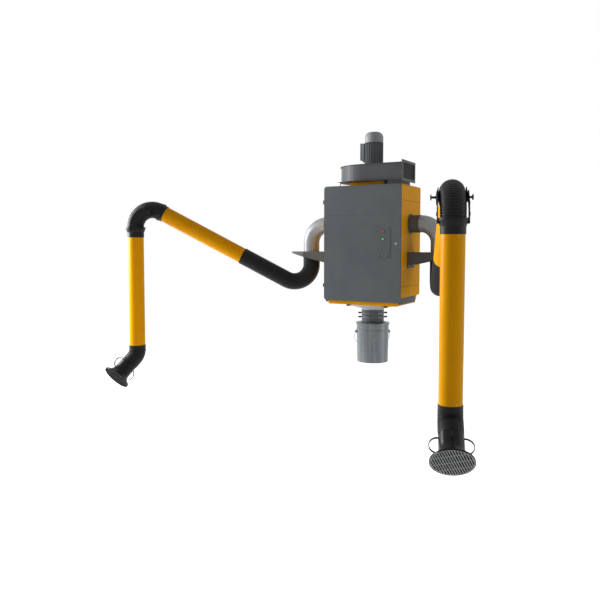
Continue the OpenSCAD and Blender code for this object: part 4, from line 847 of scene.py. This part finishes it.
@dataclass
class Arm:
    """One extraction arm: its three hoses, their clamps, rivets and finishes."""

    side: Side
    shop: PaintShop
    hose: RibbedHose = field(default_factory=RibbedHose)
    clamp: HoseClamp = field(default_factory=HoseClamp)
    bend_r: float = 176.0
    rise: float = 28.0
    elbow_out: float = 1822.25
    hanger_z: float = -112.3
    hanger_lead: float = 99.7
    inner_tail: float = 514.7
    fork_at: tuple[float, float] = (1563.6, 326.5)
    fork_lead: float = 23.7
    fork_tail: float = 39.7
    wrist_z: float = -1093.2
    wrist_lead: float = 5.7
    wrist_r: float = 120.0
    wrist_turn: float = 51.0
    wrist_tail: float = 77.7
    inner_start: tuple[float, float] = (258.63, -367.40)
    inner_rivets: tuple[float, float] = (536.0, 1434.0)
    outer_rivets: tuple[float, float] = (50.0, -1044.0)
    tube_r: float = 80.0
    rivet_n: int = 4
    rivet_r: float = 3.2

    def __post_init__(self) -> None:
        """Works out the three hoses' middle lines."""
        run = (math.cos(math.radians(self.rise)), math.sin(math.radians(self.rise)))
        self.inner_dir = run
        down, quarter = -90.0, 90.0
        self.shoulder = Bend(
            (0.0, self.hanger_z), down, self.hanger_lead, self.bend_r, quarter + self.rise,
            self.inner_tail,
        )
        entry = tuple(at - self.fork_lead * way for at, way in zip(self.fork_at, run))
        self.elbow = Bend(
            entry, self.rise, self.fork_lead, self.bend_r, -(quarter + self.rise), self.fork_tail
        )
        self.wrist = Bend(
            (0.0, self.wrist_z), down, self.wrist_lead, self.wrist_r, self.wrist_turn,
            self.wrist_tail,
        )

    def body(self, part: str) -> str:
        """The name of one of this arm's bodies."""
        return f"{self.side.word}_{part}"

    def ring_place(self, bend: Bend, place: Matrix, s: float, spin: float) -> Matrix:
        """The place of something round the hose at a distance along it.

        Args:
            bend: The hose's middle line.
            place: The frame that the line lies in.
            s: Distance from the hose's start.
            spin: Degrees about the hose.

        Returns:
            The place, its Z axis along the hose.
        """
        u, z, h = bend.at(s)
        hr = math.radians(h)
        axis = place.to_3x3() @ Vector((math.cos(hr), 0, math.sin(hr)))
        return upright(place @ mm(u, 0, z), axis, spin)

    def build_hose(
        self, name: str, bend: Bend, place: Matrix, bodies: tuple[str, str], node: str
    ) -> None:
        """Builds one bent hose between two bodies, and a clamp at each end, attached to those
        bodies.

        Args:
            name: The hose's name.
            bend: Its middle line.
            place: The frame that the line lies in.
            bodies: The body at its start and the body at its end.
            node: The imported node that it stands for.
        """
        piece = self.hose.parts(bend, place).obj(self.body(name), [Paint.HOSE], self.shop, 70)
        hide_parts(self.body(node))
        marks = [bend.at(bend.lead), bend.at(bend.length - bend.tail)]
        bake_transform(piece)
        for end, s in enumerate((self.hose.cuff * 0.45, bend.length - self.hose.cuff * 0.45)):
            parts = MeshParts()
            self.clamp.add(parts, self.ring_place(bend, place, s, 60.0 + 30.0 * end))
            ring = parts.obj(self.body(f"{name}_clamp_{end + 1}"), [Paint.BLACK], self.shop)
            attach(ring, self.body(bodies[end]))

    def build_rivets(self) -> None:
        """Adds the domed rivets that hold the tubes to their collars."""
        place = self.side.place()
        run = Vector((self.inner_dir[0], 0, self.inner_dir[1]))
        start = mm(self.inner_start[0], 0, self.inner_start[1])
        slant = place.to_3x3() @ run
        spots = {
            "inner": [(place @ (start + run * s * MM), slant) for s in self.inner_rivets],
            "outer": [
                (place @ mm(self.elbow_out, 0, z), Vector((0, 0, 1)))
                for z in self.outer_rivets
            ],
        }
        out = Matrix.Translation(Vector((self.tube_r * MM, 0, 0)))
        lie = Matrix.Rotation(math.radians(90), 4, "Y")
        r = self.rivet_r
        dome = [(r, -0.6), (r, 0.2), (r * 0.8, 0.9), (r * 0.45, 1.3), (0.05, 1.5)]
        step = 360.0 / self.rivet_n
        for part, places in spots.items():
            parts = MeshParts()
            for point, axis in places:
                for k in range(self.rivet_n):
                    seat = upright(point, axis, step / 2 + step * k) @ out @ lie
                    parts.lathe(dome, seat, 14, 0, False)
            piece = parts.obj(self.body(f"{part}_tube_rivets"), [Paint.STEEL], self.shop)
            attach(piece, self.body(part))
    
    def dress(self) -> None:
        """Puts the finishes on this arm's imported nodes."""
        coats = {
            Paint.TUBE: ("inner_tube", "outer_tube"),
            Paint.BLACK: ("hanger", "inner_fork", "outer_fork", "hood_collar"),
            Paint.STEEL: ("link",),
            Paint.PLASTIC: ("damper", "knob_a", "knob_b"),
            Paint.HOOD: ("hood",),
            self.side.grille: ("grille",),
            Paint.HOSE: ("shoulder_hose", "elbow_hose", "hood_hose"),
        }
        self.shop.coat_nodes(coats, self.body(""))

    def build(self) -> None:
        """Builds every piece of the arm."""
        self.dress()
        place, turned = self.side.place(), self.side.turned(self.elbow_out)
        self.build_hose("shoulder_ribs", self.shoulder, place, ("swivel", "inner"), "shoulder_hose")
        self.build_hose("elbow_ribs", self.elbow, place, ("inner", "outer"), "elbow_hose")
        self.build_hose("wrist_ribs", self.wrist, turned, ("turn", "hood"), "hood_hose")
        self.build_rivets()


# Cabinet, fan and pail.


@dataclass
class Cabinet:
    """The yellow cabinet with its door, filters, ducts and brackets."""

    shop: PaintShop
    filter_x: float = 166.0
    fan_y: float = -290.0
    filter_top: float = 300.0
    filter_h: float = 610.0
    filter_r: float = 145.0
    cap_r: float = 157.0
    pleats: int = 96
    pleat_deep: float = 16.0
    seal_w: float = 14.0
    seal_t: float = 0.9
    seal_x: float = 372.0
    seal_top: float = 528.0
    seal_bottom: float = -484.0
    half_w: float = 390.0
    front_y: float = -566.0
    back_y: float = -40.0
    seam_z: float = 400.0
    seam_w: float = 2.6
    seam_in: float = 0.45
    panel_y: float = -589.0

    def dress(self) -> None:
        """Puts the finishes on the cabinet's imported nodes."""
        coats = {
            Paint.YELLOW: ("cabinet_shell",),
            Paint.SLATE: ("front_door",),
            Paint.DARK: ("arm_brackets", "wall_rails", "base_rails", "inlet_collars"),
            Paint.DUCT: ("inlet_ducts",),
            Paint.ZINC: ("tube_sheet",),
            Paint.FELT: ("filter_cartridges",),
            Paint.LIGHT: ("pulse_tank",),
            Paint.STEEL: ("frame_bolts", "door_lock"),
            Paint.PANEL: ("control_panel",),
            Paint.RED: ("lamp_red",),
            Paint.GREEN: ("lamp_green",),
            Paint.BUTTON: ("start_button", "stop_button"),
        }
        self.shop.coat_nodes(coats)

    def build_filters(self) -> None:
        """Builds the two pleated cartridges with their end caps and outer bands."""
        parts = MeshParts()
        bottom = self.filter_top - self.filter_h
        for s in (-1, 1):
            place = Matrix.Translation(mm(s * self.filter_x, self.fan_y, 0))
            rows = []
            for z in (bottom + 14, self.filter_top - 12):
                row = []
                for k in range(self.pleats * 4):
                    t = 2 * math.pi * k / (self.pleats * 4)
                    fold = (0.0, 0.35, 1.0, 0.35)[k % 4]
                    r = (self.filter_r - 3 - self.pleat_deep * fold) * MM
                    row.append(place @ Vector((r * math.cos(t), r * math.sin(t), z * MM)))
                rows.append(row)
            parts.grid(rows, True, 0)
            parts.lathe(
                [(0.1, bottom), (self.filter_r - 3, bottom), (self.filter_r, bottom + 3),
                 (self.filter_r, bottom + 18), (self.filter_r - 3, bottom + 20),
                 (100, bottom + 20), (100, bottom + 16), (0.1, bottom + 16)],
                place, 72, 1, False,
            )
            top = self.filter_top
            parts.lathe(
                [(118, top - 16), (self.filter_r, top - 16), (self.filter_r, top - 10),
                 (self.cap_r, top - 10), (self.cap_r, top), (118, top)],
                place, 72, 1,
            )
            for share in (0.25, 0.5, 0.75):
                z = bottom + self.filter_h * share
                parts.lathe(
                    [(self.filter_r - 3, z), (self.filter_r - 1.5, z),
                     (self.filter_r - 1.5, z + 9), (self.filter_r - 3, z + 9)],
                    place, 72, 1,
                )
        piece = parts.obj("filter_pleats", [Paint.FELT, Paint.ZINC], self.shop, 25)
        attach(piece, "cabinet")
        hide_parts("filter_cartridges")

    def build_seal(self) -> None:
        """Builds the rubber seal that runs round the cabinet's front flange."""
        parts = MeshParts()
        y0, y1 = self.front_y, self.front_y - self.seal_t
        x, w = self.seal_x, self.seal_w
        rings = []
        for inset, y in ((0, y0), (1, y1), (w - 1, y1), (w, y0)):
            a, top, low = x - inset, self.seal_top - inset, self.seal_bottom + inset
            rings.append(
                [mm(a, y, low), mm(a, y, top),
                 mm(-a, y, top), mm(-a, y, low)]
            )
        parts.grid(rings + [rings[0]], True)
        piece = parts.obj("door_seal", [Paint.RUBBER], self.shop)
        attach(piece, "cabinet")

    def build_panel_trim(self) -> None:
        """Builds the raised rings round the lamps and buttons."""
        parts = MeshParts()
        spots = ((220.4, 110.0, 9.0), (217.6, 43.0, 9.0), (175.8, -112.5, 9.0), (255.0, -112.5, 9.0))
        for x, z, r in spots:
            place = upright(mm(x, self.panel_y, z), Vector((0, -1, 0)))
            parts.lathe(
                [(r + 0.4, -0.3), (r + 3.6, -0.3), (r + 3.6, 0.8), (r + 2.6, 1.6), (r + 1.0, 1.6),
                 (r + 0.4, 1.0)],
                place, 40,
            )
        piece = parts.obj("panel_rings", [Paint.PLASTIC], self.shop)
        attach(piece, "door")

    def build_seam_shadows(self) -> None:
        """Builds thin strips of painted shadow in the two folded seams of each side."""
        parts = MeshParts()
        middle = (self.back_y + self.front_y) / 2
        depth = self.back_y - self.front_y - 2.0
        # Each strip is painted shadow: a thin dark brown sheet laid where the fold lies in shade.
        for s in (-1, 1):
            for z in (-self.seam_z, self.seam_z):
                place = Matrix.Translation(mm(s * (self.half_w - self.seam_in), middle, z))
                parts.block((0.5, depth, self.seam_w), place, 0.1)
        piece = parts.obj("side_seam_shadows", [Paint.SEAM], self.shop)
        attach(piece, "cabinet")

    def build(self) -> None:
        """Builds and dresses the cabinet's pieces."""
        self.dress()
        self.build_filters()
        self.build_seal()
        self.build_seam_shadows()
        self.build_panel_trim()


@dataclass
class FanUnit:
    """The fan on the roof: scroll, motor, cowl and what turns."""

    shop: PaintShop
    fan_y: float = -290.0
    box_x: float = -121.0
    box_w: float = 90.0
    box_z: tuple[float, float] = (809.0, 969.0)
    lid_t: float = 4.0
    rib_n: int = 8
    mouth_y: tuple[float, float] = (-617.0, -311.0)
    mouth_z: tuple[float, float] = (590.0, 731.0)
    guard_x: float = 404.0
    wire: float = 4.0
    wires: tuple[int, int] = (25, 11)

    def dress(self) -> None:
        """Puts the finishes on the fan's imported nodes."""
        coats = {
            Paint.YELLOW: ("fan_plenum",),
            Paint.FAN: ("fan_scroll",),
            Paint.MOTOR: ("motor_body", "motor_box"),
            Paint.COWL: ("motor_cowl",),
            Paint.ZINC: ("impeller",),
            Paint.STEEL: ("motor_shaft",),
        }
        self.shop.coat_nodes(coats)

    def build_terminal_lid(self) -> None:
        """Builds the ribbed lid of the motor's terminal box and its four screws."""
        parts = MeshParts()
        low, high = self.box_z
        middle, tall = (low + high) / 2, high - low
        lid = mm(self.box_x - self.lid_t / 2, self.fan_y, middle)
        parts.block((self.lid_t, self.box_w + 4.0, tall + 4.0), Matrix.Translation(lid), 1.2)
        step = (tall - 30.0) / (self.rib_n - 1)
        for i in range(self.rib_n):
            z = low + 15.0 + step * i
            rib = mm(self.box_x - self.lid_t - 1.5, self.fan_y, z)
            parts.block((4.0, self.box_w - 20.0, 6.0), Matrix.Translation(rib), 0.8)
        for sy in (-1, 1):
            for z in (low + 6.0, high - 6.0):
                y = self.fan_y + sy * (self.box_w / 2 - 6.0)
                seat = upright(mm(self.box_x - self.lid_t, y, z), Vector((-1, 0, 0)))
                parts.lathe(
                    [(3.6, -0.5), (3.6, 1.4), (3.0, 2.2), (1.8, 2.2), (1.6, 1.0), (0.05, 1.0)],
                    seat, 16, 1, False,
                )
        piece = parts.obj("terminal_lid", [Paint.MOTOR, Paint.STEEL], self.shop)
        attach(piece, "cabinet")

    def build_guard(self) -> None:
        """Builds the welded wire guard that closes the fan's outlet."""
        parts = MeshParts()
        (y0, y1), (z0, z1) = self.mouth_y, self.mouth_z
        r = self.wire / 2
        for count, (low, high) in zip(self.wires, (self.mouth_y, self.mouth_z)):
            across = (low, high) == self.mouth_y
            step = (high - low) / count
            half = ((z1 - z0) if across else (y1 - y0)) / 2
            axis = Vector((0, 0, 1)) if across else Vector((0, 1, 0))
            for i in range(count):
                at = low + step * (i + 0.5)
                middle = Vector((self.guard_x, at, (z0 + z1) / 2))
                if not across:
                    middle = Vector((self.guard_x + self.wire, (y0 + y1) / 2, at))
                parts.lathe(
                    [(0.02, -half), (r, -half), (r, half), (0.02, half)],
                    upright(middle * MM, axis), 6, 0, False,
                )
        piece = parts.obj("outlet_guard", [Paint.DARK], self.shop, 70)
        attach(piece, "cabinet")

    def build(self) -> None:
        """Builds and dresses the fan's pieces."""
        self.dress()
        self.build_terminal_lid()
        self.build_guard()


@dataclass
class DustSide:
    """The hopper, its sleeve and the pail under it."""

    shop: PaintShop
    fan_y: float = -290.0
    top_z: float = -774.3
    bottom_z: float = -1156.3
    top_r: float = 158.0
    bottom_r: float = 151.0
    sleeve_z: float = -757.0
    sleeve_l: float = 114.0
    band_shares: tuple[float, float] = (0.36, 0.72)
    band_r: float = 115.0
    band_h: float = 13.0
    ear_at: float = 30.0
    seam_at: float = -52.0
    seam_w: float = 7.0
    seam_z: tuple[float, float] = (-852.0, -1146.0)

    def dress(self) -> None:
        """Puts the finishes on the dust side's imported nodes."""
        coats = {
            Paint.LIGHT: ("hopper_cone",),
            Paint.PLASTIC: ("hopper_clamps",),
            Paint.SLEEVE: ("bin_neck",),
            Paint.PAIL: ("bin_lid", "dust_bin"),
            Paint.STEEL: ("bin_bail",),
        }
        self.shop.coat_nodes(coats)

    def build_seam(self) -> None:
        """Builds the folded seam down the pail's side."""
        parts = MeshParts()
        rows = []
        for z in self.seam_z:
            share = (z - self.top_z) / (self.bottom_z - self.top_z)
            r = self.top_r + (self.bottom_r - self.top_r) * share
            row = []
            for off, out in ((-0.5, -0.4), (-0.42, 1.0), (0.3, 1.0), (0.5, -0.4)):
                t = math.radians(self.seam_at) + off * self.seam_w / r
                row.append(
                    mm((r + out) * math.cos(t), self.fan_y + (r + out) * math.sin(t), z)
                )
            rows.append(row)
        parts.grid(rows, False)
        piece = parts.obj("pail_seam", [Paint.PAIL], self.shop)
        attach(piece, "bin")

    def build_bands(self) -> None:
        """Builds the plated bands over the sleeve's clamps, with their black bolted ears."""
        parts = MeshParts()
        h = self.band_h
        for share in self.band_shares:
            z = self.sleeve_z + self.sleeve_l * (1 - share)
            ring = Matrix.Translation(mm(0, self.fan_y, z))
            r = self.band_r
            parts.lathe(
                [(r - 0.4, 3.0), (r + 0.9, 3.0), (r + 0.9, h - 3.0), (r - 0.4, h - 3.0)],
                ring, 72, 1,
            )
            for turn in (self.ear_at, self.ear_at + 180.0):
                ear = ring @ Matrix.Rotation(math.radians(turn), 4, "Z")
                middle = Vector(((r + 14.0) * MM, 0, h / 2 * MM))
                parts.block((27.0, 17.0, h + 2.0), ear @ Matrix.Translation(middle), 1.5)
                bolt = ear @ Matrix.Translation(middle + mm(5.0, -16.0, 0))
                parts.lathe(
                    [(0.05, 0.0), (4.4, 0.0), (5.0, 0.8), (5.0, 5.0), (3.0, 5.4), (3.0, 26.0),
                     (5.0, 26.4), (5.0, 31.0), (4.4, 32.0), (0.05, 32.0)],
                    bolt @ Matrix.Rotation(math.radians(-90), 4, "X"), 6, 0, False,
                )
        piece = parts.obj("sleeve_bands", [Paint.BLACK, Paint.PAIL], self.shop, 30)
        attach(piece, "cabinet")

    def build(self) -> None:
        """Builds and dresses the dust side's pieces."""
        self.dress()
        self.build_seam()
        self.build_bands()


# Studio.


@dataclass
class Studio:
    """A pale floor, plain soft light and the camera at the photograph's angle."""

    floor_z: float = -2.1
    eye: tuple[float, float, float] = (2.453, -6.218, 0.006)
    yaw: float = 28.9
    pitch: float = -3.70
    lens: float = 39.0
    shift: float = -0.025
    room_light: float = 0.25
    floor_lift: float = 0.8
    tile: float = 3.0
    aim: tuple[float, float, float] = (0.1, -0.4, 0.0)
    lamps: tuple = (
        ("left_softbox", (-5.7, -2.0, 0.8), 2.6, 480.0),
        ("right_softbox", (6.0, 0.6, -0.4), 5.0, 70.0),
    )

    def camera(self) -> None:
        """Places the camera that the fit to the photograph gave."""
        data = bpy.data.cameras.new("photo_camera")
        data.lens, data.sensor_width, data.shift_y = self.lens, 36.0, self.shift
        data.clip_end = 60.0
        cam = bpy.data.objects.new("photo_camera", data)
        cam.location = self.eye
        cam.rotation_euler = (math.radians(90 + self.pitch), 0, math.radians(self.yaw))
        bpy.context.scene.collection.objects.link(cam)
        bpy.context.scene.camera = cam

    def lamp(self, name: str, place: Vector, aim: Vector, size: float, watts: float) -> None:
        """Adds one soft lamp.

        Args:
            name: The lamp's name.
            place: Where it stands, in metres.
            aim: The point that it faces.
            size: The side of its square in metres.
            watts: Its power.
        """
        data = bpy.data.lights.new(name, "AREA")
        data.size, data.energy = size, watts
        lamp = bpy.data.objects.new(name, data)
        lamp.location = place
        lamp.rotation_euler = (aim - place).to_track_quat("-Z", "Y").to_euler()
        bpy.context.scene.collection.objects.link(lamp)

    def white_to_eye(self, tree: bpy.types.NodeTree) -> bpy.types.NodeSocket:
        """1 for rays from the camera and for those that gloss or glass sends on, else 0."""
        ray = add_node(tree, "ShaderNodeLightPath").outputs
        seen = ray["Is Camera Ray"]
        for kind in ("Is Glossy Ray", "Is Transmission Ray"):
            seen = add_node(
                tree, "ShaderNodeMath", {"operation": "MAXIMUM"}, {0: seen, 1: ray[kind]}
            ).outputs[0]
        return seen

    def world(self) -> None:
        """Fills the room with even light, white to the eye and in reflections."""
        world = bpy.data.worlds.new("studio_room")
        world.use_nodes = True
        bpy.context.scene.world = world
        tree = world.node_tree
        tree.nodes.clear()
        room = add_node(
            tree, "ShaderNodeBackground", {"Color": linear("#FFFFFF"), "Strength": self.room_light}
        )
        white = add_node(
            tree, "ShaderNodeBackground", {"Color": linear("#FFFFFF"), "Strength": 1.0}
        )
        mix = add_node(
            tree, "ShaderNodeMixShader", {},
            {0: self.white_to_eye(tree), 1: room.outputs[0], 2: white.outputs[0]},
        )
        add_node(tree, "ShaderNodeOutputWorld", {}, {"Surface": mix.outputs[0]})

    def floor(self) -> None:
        """Lays a wide pale floor that keeps the object's shadow."""
        mesh = bpy.data.meshes.new("studio_floor")
        steps = [self.tile * i for i in range(-9, 10)]
        rows = [[Vector((x, y, self.floor_z)) for x in steps] for y in steps]
        parts = MeshParts()
        parts.grid(rows, False)
        mesh.from_pydata([tuple(v) for v in parts.verts], [], parts.faces)
        mat = bpy.data.materials.new("matt_white_floor_paint")
        mat.use_nodes = True
        tree = mat.node_tree
        tree.nodes.clear()
        paint = add_node(tree, "ShaderNodeBsdfDiffuse", {"Color": linear("#F4F4F4")})
        lift = add_node(
            tree, "ShaderNodeEmission", {"Color": linear("#FFFFFF"), "Strength": self.floor_lift}
        )
        still = add_node(tree, "ShaderNodeEmission", {"Strength": 0.0})
        seen = add_node(
            tree, "ShaderNodeMixShader", {},
            {0: self.white_to_eye(tree), 1: still.outputs[0], 2: lift.outputs[0]},
        )
        both = add_node(
            tree, "ShaderNodeAddShader", {}, {0: paint.outputs[0], 1: seen.outputs[0]}
        )
        add_node(tree, "ShaderNodeOutputMaterial", {}, {"Surface": both.outputs[0]})
        mesh.materials.append(mat)
        floor = bpy.data.objects.new("studio_floor", mesh)
        bpy.context.scene.collection.objects.link(floor)

    def build(self) -> None:
        """Sets the camera, the room, the floor and the lamps."""
        self.camera()
        self.world()
        self.floor()
        for name, place, size, watts in self.lamps:
            self.lamp(name, Vector(place), Vector(self.aim), size, watts)
        bpy.context.scene.view_settings.view_transform = "Standard"


def main() -> None:
    """Builds the sub-assemblies and the studio."""
    logging.basicConfig(level=logging.INFO, format="%(name)s %(message)s")
    shop = PaintShop()
    Studio().build()
    for part in (Cabinet(shop), FanUnit(shop), DustSide(shop), Arm(Side.LEFT, shop),
                 Arm(Side.RIGHT, shop)):
        part.build()
        log.info("%s done", type(part).__name__)


if __name__ == "__main__":
    main()
